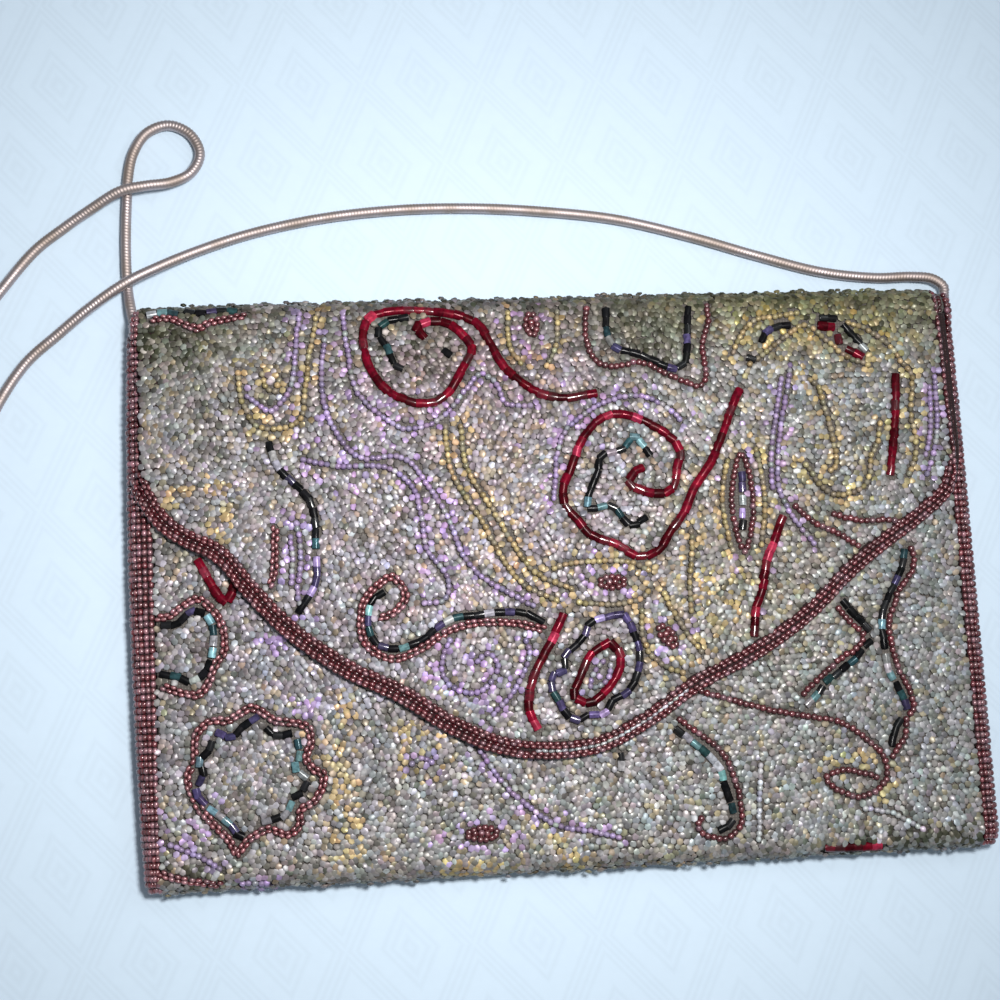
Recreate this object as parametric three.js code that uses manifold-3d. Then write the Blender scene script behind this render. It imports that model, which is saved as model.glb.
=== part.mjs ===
// Beaded evening clutch with a flap and a snake chain strap.
// Millimetres. The clutch lies on its back: X to the right, Y to the top fold, Z up.
// The origin is the middle of the back, on the surface that it lies on.
import * as THREE from 'three';
import { mergeVertices } from 'three/addons/utils/BufferGeometryUtils.js';
import Module from 'manifold-3d';

const wasm = await Module();
wasm.setup();

// Driving dimensions
const SEAM_SPAN = 209.6;     // between the two side seams
const BAG_HEIGHT = 149;
const WALL = 2;              // cloth with its layer of beads
const GAP = 0.3;             // clearance between sewn pieces
const SIDE_HEIGHT = 8.8;     // thickness of the pouch at its seams
const CROWN = 2.2;           // how much the stuffed middle stands above the seams
const CROWN_BREADTH = 3.5;   // exponent: how flat the crown is across the bag
const CROWN_TOP_Y = 10;      // the crown falls away below this height on the bag
const FLAP_CLEARANCE = 0.4;  // air between the flap and the front
const FOLD_DEPTH = 6;        // the top fold, front to back of its curve
const HEM_DEPTH = 4.5;       // the bottom fold
const FOLD_DIP = 1.6;        // how far the pouch thins towards the top fold
const DIP_START = 40;        // height on the bag where that thinning begins
const LEFT_WIDTH = 7.6;      // the left beaded side binding where it is widest, seen from the front
const LEFT_TAPER = 1.7;      // how much narrower it is half a bag's height away from there
const LEFT_FULL_Y = 20;      // height on the bag where it is widest
const RIGHT_WIDTH = 5.2;     // the right one, more tightly sewn
const SIDE_FULLNESS = 2.4;   // exponent of their rounded section
const CORNER_SHARE = 0.45;   // how much of their width the rounded bottom corner takes
const CORNER_TURN = 1.4;     // angle, in radians, where that corner is closed off
const HOLLOW_OVERRUN = 1;    // how far the cut that hollows them runs past their ends
const SIDE_TOP_DROP = 1.5;   // their upper ends lie this far below the start of the fold
const FLAP_OVERHANG = 2.2;   // how far the flap reaches past each side seam
const FLAP_DROOP = 0.3;      // sag of the flap's sides over the side seams
const BAND_WIDTH = 4.5;      // the beaded band along the flap's free edge
const BAND_RISE = 0.15;      // how much its middle row stands above the flap
const BAND_ROUND = 0.18;     // share of its width that each rounded shoulder takes
const BAND_SHOULDER = 0.6;   // height of its rounded shoulders
const MOUTH_Y = 60;          // upper edge of the front, under the flap
const CHAIN_RADIUS = 1.4;
const CHAIN_REST = 1.45;     // height of the chain's middle where it lies on the surface
const CHAIN_JOIN = 0.4;      // clearance between the chain's two lengths
const CAP_RADIUS = 1.6;
const CAP_LENGTH = 3.2;
const CAP_HEIGHT = 3.7;
const STUD_RADIUS = 5;
const STUD_THICKNESS = 1.1;
const STUD_RECESS = 1.3;     // bare spot in the bead layer where the stud is set
const STUD_CENTRE = { x: -7, y: -33 };

// Sizes that follow from them
const TOP_Y = BAG_HEIGHT / 2;
const FOLD_Y = TOP_Y - FOLD_DEPTH;
const HEM_Y = -TOP_Y + HEM_DEPTH;
const LIP_X = SEAM_SPAN / 2;
const PANEL_HALF = LIP_X - GAP;
const FLAP_HALF = LIP_X + FLAP_OVERHANG;
const FIELD_INSET = BAND_WIDTH + 2 * GAP;
const FIELD_HALF = FLAP_HALF - FIELD_INSET;
const SIDE_TOP_Y = FOLD_Y - SIDE_TOP_DROP;
const FIELD_TOP_Y = FOLD_Y - GAP;
const BAND_TOP_Y = FIELD_TOP_Y - GAP;
const CAP_X = FLAP_HALF + GAP + CAP_RADIUS;
const CHAIN_START_Y = SIDE_TOP_Y + CAP_LENGTH + 2 * GAP;

// The flap's free edge, from the fold on the left, round the tip, to the fold on the right
const FLAP_EDGE = [
  { x: -FLAP_HALF, y: BAND_TOP_Y },
  { x: -FLAP_HALF, y: 48 },
  { x: -FLAP_HALF, y: 31 },
  { x: -105.6, y: 18.6 },
  { x: -98, y: 11.3 },
  { x: -89.6, y: 6.7 },
  { x: -83.8, y: -0.6 },
  { x: -73.5, y: -12.2 },
  { x: -59.2, y: -23.1 },
  { x: -44.8, y: -30.7 },
  { x: -32.7, y: -38.9 },
  { x: -20.5, y: -44.5 },
  { x: -7, y: -46.6 },
  { x: 6.6, y: -45.3 },
  { x: 19.7, y: -39.2 },
  { x: 32.5, y: -31 },
  { x: 47.2, y: -24.2 },
  { x: 61.4, y: -15.5 },
  { x: 75.2, y: -3.5 },
  { x: 84.1, y: 3.1 },
  { x: 95.1, y: 10.3 },
  { x: 104, y: 18 },
  { x: FLAP_HALF, y: 28 },
  { x: FLAP_HALF, y: 46 },
  { x: FLAP_HALF, y: BAND_TOP_Y },
];

// The chain's way from the left cap, up, round its small loop and out past the bag's side
const CHAIN_LEFT_WAY = [
  { x: -CAP_X, y: CHAIN_START_Y, z: CAP_HEIGHT },
  { x: -109.7, y: 75, z: 3 },
  { x: -110.5, y: 80, z: 1.6 },
  { x: -110.8, y: 86, z: CHAIN_REST },
  { x: -110.8, y: 95, z: CHAIN_REST },
  { x: -110.4, y: 104, z: CHAIN_REST },
  { x: -109.9, y: 111.5, z: CHAIN_REST },
  { x: -108.4, y: 118, z: CHAIN_REST },
  { x: -104.8, y: 123.4, z: CHAIN_REST },
  { x: -99, y: 125.5, z: CHAIN_REST },
  { x: -93.4, y: 122.8, z: 1.5 },
  { x: -91, y: 117.2, z: 1.8 },
  { x: -93.4, y: 111.9, z: 2.5 },
  { x: -98.6, y: 109, z: 3.5 },
  { x: -105, y: 107.8, z: 4.5 },
  { x: -111.6, y: 106.3, z: 4.9 },
  { x: -119, y: 102.3, z: 3.4 },
  { x: -127, y: 97.2, z: 1.9 },
  { x: -134, y: 91.8, z: CHAIN_REST },
  { x: -143.2, y: 80.7, z: CHAIN_REST },
  { x: -157, y: 62, z: CHAIN_REST },
  { x: -171, y: 40, z: CHAIN_REST },
  { x: -182, y: 14, z: CHAIN_REST },
  { x: -188, y: -15, z: CHAIN_REST },
  { x: -190, y: -46, z: CHAIN_REST },
];

// From there round the far bend, back to the bag, over the first strand and along the top to the right cap
const CHAIN_RIGHT_WAY = [
  { x: -190, y: -46 - CHAIN_JOIN, z: CHAIN_REST },
  { x: -189.5, y: -76, z: CHAIN_REST },
  { x: -186, y: -100, z: CHAIN_REST },
  { x: -178.5, y: -114, z: CHAIN_REST },
  { x: -169, y: -118, z: CHAIN_REST },
  { x: -159.5, y: -113, z: CHAIN_REST },
  { x: -154, y: -99, z: CHAIN_REST },
  { x: -152, y: -74, z: CHAIN_REST },
  { x: -152, y: -40, z: CHAIN_REST },
  { x: -152, y: -6, z: CHAIN_REST },
  { x: -151, y: 24, z: CHAIN_REST },
  { x: -147, y: 44, z: CHAIN_REST },
  { x: -137.5, y: 60.6, z: 1.7 },
  { x: -128, y: 69, z: 2.7 },
  { x: -119.5, y: 75.6, z: 4.2 },
  { x: -110.8, y: 81.4, z: 4.9 },
  { x: -101.5, y: 86.2, z: 3.9 },
  { x: -91, y: 90.9, z: 2.2 },
  { x: -78, y: 95.2, z: CHAIN_REST },
  { x: -60, y: 98.9, z: CHAIN_REST },
  { x: -40, y: 100.9, z: CHAIN_REST },
  { x: -20, y: 101.1, z: CHAIN_REST },
  { x: 0, y: 99.8, z: CHAIN_REST },
  { x: 20, y: 97.2, z: CHAIN_REST },
  { x: 40, y: 92, z: CHAIN_REST },
  { x: 58, y: 86.3, z: CHAIN_REST },
  { x: 76, y: 81.2, z: CHAIN_REST },
  { x: 91, y: 79.2, z: 1.7 },
  { x: 101, y: 79.1, z: 2.3 },
  { x: 106.6, y: 78.2, z: 2.8 },
  { x: 109.3, y: 75.8, z: 3.2 },
  { x: CAP_X + 0.2, y: 73.4, z: 3.55 },
  { x: CAP_X, y: CHAIN_START_Y, z: CAP_HEIGHT },
];

// How finely each surface is divided
const PANEL_COLUMNS = 32;
const FRONT_ROWS = 12;
const FLAP_ROWS = 12;
const BACK_ROWS = 6;
const FOLD_ROWS = 8;
const HEM_ROWS = 6;
const SIDE_ROWS = 14;
const CORNER_ROWS = 4;
const SIDE_POINTS = 12;
const BAND_STEPS = 90;
const EDGE_SAMPLES = 400;
const CHAIN_SIDES = 8;
const CHAIN_LEFT_STEPS = 38;
const CHAIN_RIGHT_STEPS = 42;
const CAP_SIDES = 12;
const STUD_SIDES = 24;

const fabricGround = new THREE.MeshStandardMaterial({ color: 0xa69a98, roughness: 0.35, metalness: 0.5 });
const darkRedBeads = new THREE.MeshStandardMaterial({ color: 0x5c2a31, roughness: 0.3, metalness: 0.3 });
const paleGold = new THREE.MeshStandardMaterial({ color: 0xb9aa92, roughness: 0.3, metalness: 1 });
const steel = new THREE.MeshStandardMaterial({ color: 0x9c9ca0, roughness: 0.4, metalness: 1 });

// Shape of the stuffed pouch

function seamHeight(y) {
  const rise = Math.max(0, (y - DIP_START) / (FOLD_Y - DIP_START));
  return SIDE_HEIGHT - FOLD_DIP * rise * rise;
}

function crown(x, y) {
  const across = Math.max(0, 1 - Math.abs(x / PANEL_HALF) ** CROWN_BREADTH);
  const fall = Math.max(0, (CROWN_TOP_Y - y) / (CROWN_TOP_Y - HEM_Y));
  return CROWN * across * (1 - fall ** 3);
}

function frontHeight(x, y) {
  return seamHeight(y) + crown(x, y);
}

function flapHeight(x, y) {
  const over = Math.max(0, (Math.abs(x) - PANEL_HALF) / (FLAP_HALF - PANEL_HALF));
  return frontHeight(x, y) + FLAP_CLEARANCE + WALL - FLAP_DROOP * over * over;
}

// Unit normal, in the YZ plane, of a surface z = height(x, y)
function heightNormal(height, x, y) {
  const step = 0.05;
  const slope = (height(x, y + step) - height(x, y - step)) / (2 * step);
  return new THREE.Vector3(0, -slope, 1).normalize();
}

// Mesh helpers

function closedGeometry(points, triangles) {
  const geometry = new THREE.BufferGeometry();
  const positions = points.flatMap((point) => [point.x, point.y, point.z]);
  geometry.setAttribute('position', new THREE.Float32BufferAttribute(positions, 3));
  geometry.setIndex(triangles.flat());
  const faceted = geometry.toNonIndexed();
  faceted.computeVertexNormals();
  return faceted;
}

// A wall of even thickness from rows of outer points, each with the direction that faces out
function wallGeometry(rows) {
  const height = rows.length;
  const width = rows[0].length;
  const outer = rows.flat().map((station) => station.point);
  const inner = rows.flat().map((station) => station.point.clone().addScaledVector(station.normal, -WALL));
  const points = outer.concat(inner);
  const shift = outer.length;
  const at = (row, column) => row * width + column;
  const triangles = [];
  const quad = (a, b, c, d) => triangles.push([a, b, c], [a, c, d]);
  for (let row = 0; row < height - 1; row += 1) {
    for (let column = 0; column < width - 1; column += 1) {
      const a = at(row, column);
      const b = at(row, column + 1);
      const c = at(row + 1, column + 1);
      const d = at(row + 1, column);
      quad(a, b, c, d);
      quad(d + shift, c + shift, b + shift, a + shift);
    }
  }
  for (let row = 0; row < height - 1; row += 1) {
    const leftA = at(row, 0);
    const leftB = at(row + 1, 0);
    const rightA = at(row, width - 1);
    const rightB = at(row + 1, width - 1);
    quad(leftA, leftB, leftB + shift, leftA + shift);
    quad(rightB, rightA, rightA + shift, rightB + shift);
  }
  for (let column = 0; column < width - 1; column += 1) {
    const firstA = at(0, column);
    const firstB = at(0, column + 1);
    const lastA = at(height - 1, column);
    const lastB = at(height - 1, column + 1);
    quad(firstB, firstA, firstA + shift, firstB + shift);
    quad(lastA, lastB, lastB + shift, lastA + shift);
  }
  return closedGeometry(points, triangles);
}

// A bar through closed convex sections, each with the same number of points
function loftGeometry(sections) {
  const count = sections[0].length;
  const points = sections.flat();
  const triangles = [];
  for (let row = 0; row < sections.length - 1; row += 1) {
    for (let k = 0; k < count; k += 1) {
      const next = (k + 1) % count;
      const a = row * count + k;
      const b = row * count + next;
      triangles.push([a, b, b + count], [a, b + count, a + count]);
    }
  }
  const last = (sections.length - 1) * count;
  for (let k = 1; k < count - 1; k += 1) {
    triangles.push([0, k + 1, k], [last, last + k, last + k + 1]);
  }
  return closedGeometry(points, triangles);
}

function toSolid(geometry) {
  const bare = geometry.clone();
  bare.deleteAttribute('normal');
  bare.deleteAttribute('uv');
  const merged = mergeVertices(bare, 1e-4);
  const vertProperties = Float32Array.from(merged.attributes.position.array);
  const triVerts = Uint32Array.from(merged.index.array);
  return new wasm.Manifold(new wasm.Mesh({ numProp: 3, vertProperties, triVerts }));
}

function fromSolid(solid) {
  const mesh = solid.getMesh();
  const geometry = new THREE.BufferGeometry();
  geometry.setAttribute('position', new THREE.Float32BufferAttribute(mesh.vertProperties, 3));
  geometry.setIndex(Array.from(mesh.triVerts));
  const faceted = geometry.toNonIndexed();
  faceted.computeVertexNormals();
  return faceted;
}

// The flap's outline and the inner edge of its band

const edgeCurve = new THREE.CatmullRomCurve3(
  FLAP_EDGE.map((row) => new THREE.Vector3(row.x, row.y, 0)),
  false,
  'centripetal',
);

// Point on the flap, measured inwards from its edge at a share of the edge's length
function insidePoint(share, inset) {
  const point = edgeCurve.getPointAt(share);
  const tangent = edgeCurve.getTangentAt(share);
  return new THREE.Vector2(point.x - tangent.y * inset, point.y + tangent.x * inset);
}

const fieldEdge = Array.from({ length: EDGE_SAMPLES + 1 }, (_, k) => insidePoint(k / EDGE_SAMPLES, FIELD_INSET));
const tipIndex = fieldEdge.reduce((best, point, k) => (point.y < fieldEdge[best].y ? k : best), 0);

// Where the beaded field of the flap ends below a given x
function fieldBottom(x) {
  const step = x < fieldEdge[tipIndex].x ? -1 : 1;
  let k = tipIndex;
  while (k > 0 && k < EDGE_SAMPLES && (fieldEdge[k + step].x - x) * step < 0) {
    k += step;
  }
  const near = fieldEdge[k];
  const far = fieldEdge[Math.min(EDGE_SAMPLES, Math.max(0, k + step))];
  const share = Math.min(1, Math.max(0, (x - near.x) / (far.x - near.x || 1)));
  return near.y + share * (far.y - near.y);
}

// Back, folds and flap: one continuous wall

function hemStation(angle) {
  const half = SIDE_HEIGHT / 2;
  const y = HEM_Y - HEM_DEPTH * Math.cos(angle);
  const z = half + half * Math.sin(angle);
  const normal = new THREE.Vector3(0, -Math.cos(angle) / HEM_DEPTH, Math.sin(angle) / half).normalize();
  return { halfWidth: PANEL_HALF, place: (x) => ({ point: new THREE.Vector3(x, y, z), normal }) };
}

function backStation(y, halfWidth) {
  const normal = new THREE.Vector3(0, 0, -1);
  return { halfWidth, place: (x) => ({ point: new THREE.Vector3(x, y, 0), normal }) };
}

function foldStation(angle) {
  const place = (x) => {
    const half = flapHeight(x, FOLD_Y) / 2;
    const point = new THREE.Vector3(x, FOLD_Y + FOLD_DEPTH * Math.cos(angle), half + half * Math.sin(angle));
    const normal = new THREE.Vector3(0, Math.cos(angle) / FOLD_DEPTH, Math.sin(angle) / half).normalize();
    return { point, normal };
  };
  return { halfWidth: FLAP_HALF, place };
}

function flapStation(share) {
  const place = (x) => {
    const y = FIELD_TOP_Y + share * (fieldBottom(x) - FIELD_TOP_Y);
    const point = new THREE.Vector3(x, y, flapHeight(x, y));
    return { point, normal: heightNormal(flapHeight, x, y) };
  };
  return { halfWidth: FIELD_HALF, place };
}

function range(count, from, to) {
  return Array.from({ length: count + 1 }, (_, k) => from + ((to - from) * k) / count);
}

function backAndFlap() {
  const quarter = Math.PI / 2;
  const backEnd = SIDE_TOP_Y;
  const stations = [
    ...range(HEM_ROWS, quarter, -quarter).map(hemStation),
    ...range(BACK_ROWS, HEM_Y, backEnd).slice(1).map((y) => backStation(y, PANEL_HALF)),
    backStation(backEnd + GAP, FLAP_HALF),
    ...range(FOLD_ROWS, -quarter, quarter).map(foldStation),
    ...range(FLAP_ROWS, 0, 1).map(flapStation),
  ];
  const columns = range(PANEL_COLUMNS, 1, -1);
  const rows = stations.map((station) => columns.map((share) => station.place(share * station.halfWidth)));
  return wallGeometry(rows);
}

// Front of the pouch, with the bare spot for the press stud

const studTilt = heightNormal(frontHeight, STUD_CENTRE.x, STUD_CENTRE.y);
const studSpot = new THREE.Vector3(STUD_CENTRE.x, STUD_CENTRE.y, frontHeight(STUD_CENTRE.x, STUD_CENTRE.y));

function discGeometry(radius, low, high) {
  const geometry = new THREE.CylinderGeometry(radius, radius, high - low, STUD_SIDES);
  geometry.translate(0, (low + high) / 2, 0);
  const turn = new THREE.Quaternion().setFromUnitVectors(new THREE.Vector3(0, 1, 0), studTilt);
  geometry.applyQuaternion(turn);
  geometry.translate(studSpot.x, studSpot.y, studSpot.z);
  return geometry;
}

function frontPanel() {
  const rows = range(FRONT_ROWS, MOUTH_Y, HEM_Y + GAP).map((y) => (
    range(PANEL_COLUMNS, PANEL_HALF, -PANEL_HALF).map((x) => ({
      point: new THREE.Vector3(x, y, frontHeight(x, y)),
      normal: heightNormal(frontHeight, x, y),
    }))
  ));
  const recess = discGeometry(STUD_RADIUS + GAP, -STUD_RECESS, WALL);
  return fromSolid(toSolid(wallGeometry(rows)).subtract(toSolid(recess)));
}

function pressStud() {
  return discGeometry(STUD_RADIUS, GAP - STUD_RECESS, GAP - STUD_RECESS + STUD_THICKNESS);
}

// Side bindings: hollow rounded walls that close the side seams

function sideWidth(side, y) {
  const away = (y - LEFT_FULL_Y) / TOP_Y;
  return side < 0 ? LEFT_WIDTH - LEFT_TAPER * away * away : RIGHT_WIDTH;
}

function sideSection(side, y, depth, half, centre, inside) {
  const arc = range(SIDE_POINTS, Math.PI / 2, -Math.PI / 2).map((angle) => {
    const reach = Math.abs(Math.cos(angle)) ** (2 / SIDE_FULLNESS);
    const rise = Math.sign(Math.sin(angle)) * Math.abs(Math.sin(angle)) ** (2 / SIDE_FULLNESS);
    return new THREE.Vector3(side * (LIP_X + depth * reach), y, centre + half * rise);
  });
  const back = [
    new THREE.Vector3(side * (LIP_X - inside), y, centre - half),
    new THREE.Vector3(side * (LIP_X - inside), y, centre + half),
  ];
  const ring = inside > 0 ? arc.concat(back) : arc;
  return side > 0 ? ring : ring.reverse();
}

function sideBinding(side) {
  const corner = range(CORNER_ROWS, CORNER_TURN, 0).map((angle) => ({
    y: HEM_Y - HEM_DEPTH * Math.sin(angle),
    depth: sideWidth(side, HEM_Y) * (1 - CORNER_SHARE + CORNER_SHARE * Math.cos(angle)),
    half: (SIDE_HEIGHT / 2) * Math.cos(angle),
  }));
  const straight = range(SIDE_ROWS, HEM_Y, SIDE_TOP_Y).slice(1).map((y) => ({
    y,
    depth: sideWidth(side, y),
    half: seamHeight(y) / 2,
  }));
  const hollow = range(SIDE_ROWS, HEM_Y - HOLLOW_OVERRUN, SIDE_TOP_Y + HOLLOW_OVERRUN);
  const outer = corner.concat(straight).map((row) => {
    const centre = row.y < HEM_Y ? SIDE_HEIGHT / 2 : row.half;
    return sideSection(side, row.y, row.depth, row.half, centre, 0);
  });
  const inner = hollow.map((y) => {
    const half = seamHeight(y) / 2;
    return sideSection(side, y, sideWidth(side, y) - WALL, half - WALL, half, HOLLOW_OVERRUN);
  });
  return fromSolid(toSolid(loftGeometry(outer)).subtract(toSolid(loftGeometry(inner))));
}

// Band of bead rows along the flap's free edge

const BAND_SECTION = [
  { inset: BAND_WIDTH, rise: -WALL },
  { inset: BAND_WIDTH, rise: -BAND_SHOULDER },
  { inset: BAND_WIDTH * (1 - BAND_ROUND), rise: 0 },
  { inset: BAND_WIDTH / 2, rise: BAND_RISE },
  { inset: BAND_WIDTH * BAND_ROUND, rise: 0 },
  { inset: 0, rise: -BAND_SHOULDER },
  { inset: 0, rise: -WALL },
];

function flapBinding() {
  const sections = range(BAND_STEPS, 0, 1).map((share) => (
    BAND_SECTION.map((row) => {
      const place = insidePoint(share, row.inset);
      return new THREE.Vector3(place.x, place.y, flapHeight(place.x, place.y) + row.rise);
    })
  ));
  return loftGeometry(sections);
}

// The chain, a smooth tube through its way points; steps are closer where the points are closer

class ChainCurve extends THREE.CatmullRomCurve3 {
  getUtoTmapping(share) {
    return share;
  }
}

function chainTube(way, steps) {
  const curve = new ChainCurve(way.map((row) => new THREE.Vector3(row.x, row.y, row.z)), false, 'centripetal');
  const corners = range(CHAIN_SIDES, 0, 2 * Math.PI).slice(1).map((angle) => (
    new THREE.Vector2(CHAIN_RADIUS * Math.cos(angle), CHAIN_RADIUS * Math.sin(angle))
  ));
  return new THREE.ExtrudeGeometry(new THREE.Shape(corners), { steps, extrudePath: curve, bevelEnabled: false });
}

function chainCap(side) {
  const geometry = new THREE.CylinderGeometry(CAP_RADIUS, CAP_RADIUS, CAP_LENGTH, CAP_SIDES);
  geometry.translate(side * CAP_X, SIDE_TOP_Y + GAP + CAP_LENGTH / 2, CAP_HEIGHT);
  return geometry;
}

// Assembly

const clutch = new THREE.Group();

function addPiece(name, geometry, material) {
  const mesh = new THREE.Mesh(geometry, material);
  mesh.name = name;
  clutch.add(mesh);
}

addPiece('back_and_flap', backAndFlap(), fabricGround);
addPiece('front_panel', frontPanel(), fabricGround);
addPiece('side_binding_left', sideBinding(-1), darkRedBeads);
addPiece('side_binding_right', sideBinding(1), darkRedBeads);
addPiece('flap_binding', flapBinding(), darkRedBeads);
addPiece('press_stud', pressStud(), steel);
addPiece('chain_cap_left', chainCap(-1), paleGold);
addPiece('chain_cap_right', chainCap(1), paleGold);
addPiece('chain_left', chainTube(CHAIN_LEFT_WAY, CHAIN_LEFT_STEPS), paleGold);
addPiece('chain_right', chainTube(CHAIN_RIGHT_WAY, CHAIN_RIGHT_STEPS), paleGold);

export default clutch;
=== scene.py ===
"""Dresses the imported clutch: beaded cloth, charted ornament, bead bindings and a snake chain.

Lengths in this file are millimetres in the shared frame unless a name ends in _M. The clutch lies on
its back with X to the right, Y to the top fold and Z up.
"""
import math

import bpy
import numpy as np
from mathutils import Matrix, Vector, kdtree


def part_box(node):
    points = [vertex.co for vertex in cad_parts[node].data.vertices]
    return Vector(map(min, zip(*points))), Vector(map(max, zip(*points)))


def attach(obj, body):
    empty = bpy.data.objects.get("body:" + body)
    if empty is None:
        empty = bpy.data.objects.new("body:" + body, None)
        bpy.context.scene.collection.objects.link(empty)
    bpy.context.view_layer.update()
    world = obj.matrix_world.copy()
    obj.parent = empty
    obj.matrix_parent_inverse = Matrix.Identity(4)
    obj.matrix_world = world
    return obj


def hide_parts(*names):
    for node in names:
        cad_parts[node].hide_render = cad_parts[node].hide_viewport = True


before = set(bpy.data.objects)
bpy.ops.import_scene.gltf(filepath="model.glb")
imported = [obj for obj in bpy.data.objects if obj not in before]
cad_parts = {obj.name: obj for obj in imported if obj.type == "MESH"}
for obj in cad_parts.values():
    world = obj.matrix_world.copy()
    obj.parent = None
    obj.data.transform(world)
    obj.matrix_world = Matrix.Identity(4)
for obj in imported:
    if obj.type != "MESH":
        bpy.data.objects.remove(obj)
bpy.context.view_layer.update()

bl_info = {
    "name": "Beaded Clutch",
    "version": (1, 0, 0),
    "blender": (4, 5, 0),
    "location": "View3D > Sidebar > Clutch",
    "description": "Sews the beads, bindings and chain of an evening clutch onto its packed solids",
    "category": "Object",
}

MM = 0.001
BODY = "root"


def node_span(node):
    """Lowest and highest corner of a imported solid, in millimetres."""
    low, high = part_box(node)
    return np.array(low) / MM, np.array(high) / MM


# Sizes of the pouch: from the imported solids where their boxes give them

FRONT_LOW, FRONT_HIGH = node_span("front_panel")
SHELL_HIGH = node_span("back_and_flap")[1]
SIDE_LOW, SIDE_HIGH = node_span("side_binding_right")

WALL = 2.0             # cloth with its layer of beads
SEAM_GAP = 0.3         # clearance between sewn pieces
PANEL_HALF = FRONT_HIGH[0]
LIP_X = SIDE_LOW[0]    # where each side binding begins
RIGHT_WIDTH = SIDE_HIGH[0] - LIP_X
LEFT_WIDTH = -LIP_X - node_span("side_binding_left")[0][0]
LEFT_TAPER = 1.7       # how much narrower the left binding is half a bag's height from its widest place
LEFT_FULL_Y = 20.0     # where it is widest
LEFT_TUCK = 0.75       # how far its beads are drawn in from the solid
LIP_COVER = 0.3        # how far the front's beads reach over it
LEFT_LIP_Y = 23.0      # its last row stops here, under the start of the flap's band
SIDE_HEIGHT = SIDE_HIGH[2]
SIDE_TOP_Y = SIDE_HIGH[1]
SIDE_FULLNESS = 2.4    # exponent of the bindings' rounded section
CORNER_SHARE = 0.45    # how much of their width the rounded corners take
CORNER_END = 0.985     # the corners are closed off at this share of the folds
SWELL_RUN = 6.0        # the rows over the chain's caps begin to swell this far below the upper ends
CAP_ROWS = (0.45, 1.2)  # angles, in radians, between which the rows run over the caps
FLAP_HALF = SHELL_HIGH[0]
TOP_Y = SHELL_HIGH[1]
FOLD_DEPTH = 6.0       # the top fold begins to curve this far in from its edge
HEM_DEPTH = 4.5        # the same for the bottom fold
FOLD_Y = TOP_Y - FOLD_DEPTH
HEM_Y = FRONT_LOW[1] - SEAM_GAP
CROWN = 2.2            # how much the middle of the bag stands above the seams
CROWN_BREADTH = 3.5    # exponent: how flat the crown is across the bag
CROWN_TOP_Y = 10.0     # the crown falls away below this height on the bag
FOLD_DIP = 1.6         # how far the pouch thins towards the top fold
DIP_START = 40.0       # where that thinning begins
FLAP_CLEARANCE = 0.4   # air between the flap and the front
FLAP_DROOP = 0.3       # sag of the flap's sides over the side seams
BAND_WIDTH = 4.5       # the beaded band along the flap's free edge
BAND_TOP_Y = FOLD_Y - 2 * SEAM_GAP

# The flap's free edge from the fold on the left, round the tip, to the fold on the right: x, y
FLAP_EDGE = [
    (-FLAP_HALF, BAND_TOP_Y), (-FLAP_HALF, 48), (-FLAP_HALF, 31), (-105.6, 18.6), (-98, 11.3),
    (-89.6, 6.7), (-83.8, -0.6), (-73.5, -12.2), (-59.2, -23.1), (-44.8, -30.7), (-32.7, -38.9),
    (-20.5, -44.5), (-7, -46.6), (6.6, -45.3), (19.7, -39.2), (32.5, -31), (47.2, -24.2),
    (61.4, -15.5), (75.2, -3.5), (84.1, 3.1), (95.1, 10.3), (104, 18), (FLAP_HALF, 28),
    (FLAP_HALF, 46), (FLAP_HALF, BAND_TOP_Y),
]

# The outer edge of the flap's bead rows: from the left side binding along the free edge to the right fold
BAND_EDGE = [(-110.9, 28.4), (-108.2, 22.4), (-104.2, 16.2)] + FLAP_EDGE[4:]
BAND_RISE = 1.2  # how far they stand above the side binding there
FREE_TOP_Y = 30.0  # the edge slants below this height
TAPE_DEPTH = 0.95  # the tape under the rows of a binding lies this deep

# The chain's way: x, y, z. It leaves the left cap, makes its small loop and runs out past the bag
REST = 1.45  # height of its middle where it lies on the table
CAP_X, CAP_Y, CAP_Z = 108.9, 70.8, 3.7
CHAIN_LEFT_WAY = [
    (-CAP_X, CAP_Y, CAP_Z), (-109.7, 75, 3), (-110.5, 80, 1.6), (-110.8, 86, REST),
    (-110.8, 95, REST), (-110.4, 104, REST), (-109.9, 111.5, REST), (-108.4, 118, REST),
    (-104.8, 123.4, REST), (-99, 125.5, REST), (-93.4, 122.8, 1.5), (-91, 117.2, 1.8),
    (-93.4, 111.9, 2.5), (-98.6, 109, 3.5), (-105, 107.8, 4.5), (-111.6, 106.3, 4.9),
    (-119, 102.3, 3.4), (-127, 97.2, 1.9), (-134, 91.8, REST), (-143.2, 80.7, REST),
    (-157, 62, REST), (-171, 40, REST), (-182, 14, REST), (-188, -15, REST), (-190, -46, REST),
]
CHAIN_RIGHT_WAY = [
    (-190, -46.0, REST), (-189.5, -76, REST), (-186, -100, REST), (-178.5, -114, REST),
    (-169, -118, REST), (-159.5, -113, REST), (-154, -99, REST), (-152, -74, REST),
    (-152, -40, REST), (-152, -6, REST), (-151, 24, REST), (-147, 44, REST), (-137.5, 60.6, 1.7),
    (-128, 69, 2.7), (-119.5, 75.6, 4.2), (-110.8, 81.4, 4.9), (-101.5, 86.2, 3.9),
    (-91, 90.9, 2.2), (-78, 95.2, REST), (-60, 98.9, REST), (-40, 100.9, REST), (-20, 101.1, REST),
    (0, 99.8, REST), (20, 97.2, REST), (40, 92, REST), (58, 86.3, REST), (76, 81.2, REST),
    (91, 79.2, 1.7), (101, 79.1, 2.3), (106.6, 78.2, 2.8), (109.3, 75.8, 3.2),
    (CAP_X + 0.2, 73.4, 3.55), (CAP_X, CAP_Y, CAP_Z),
]

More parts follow.
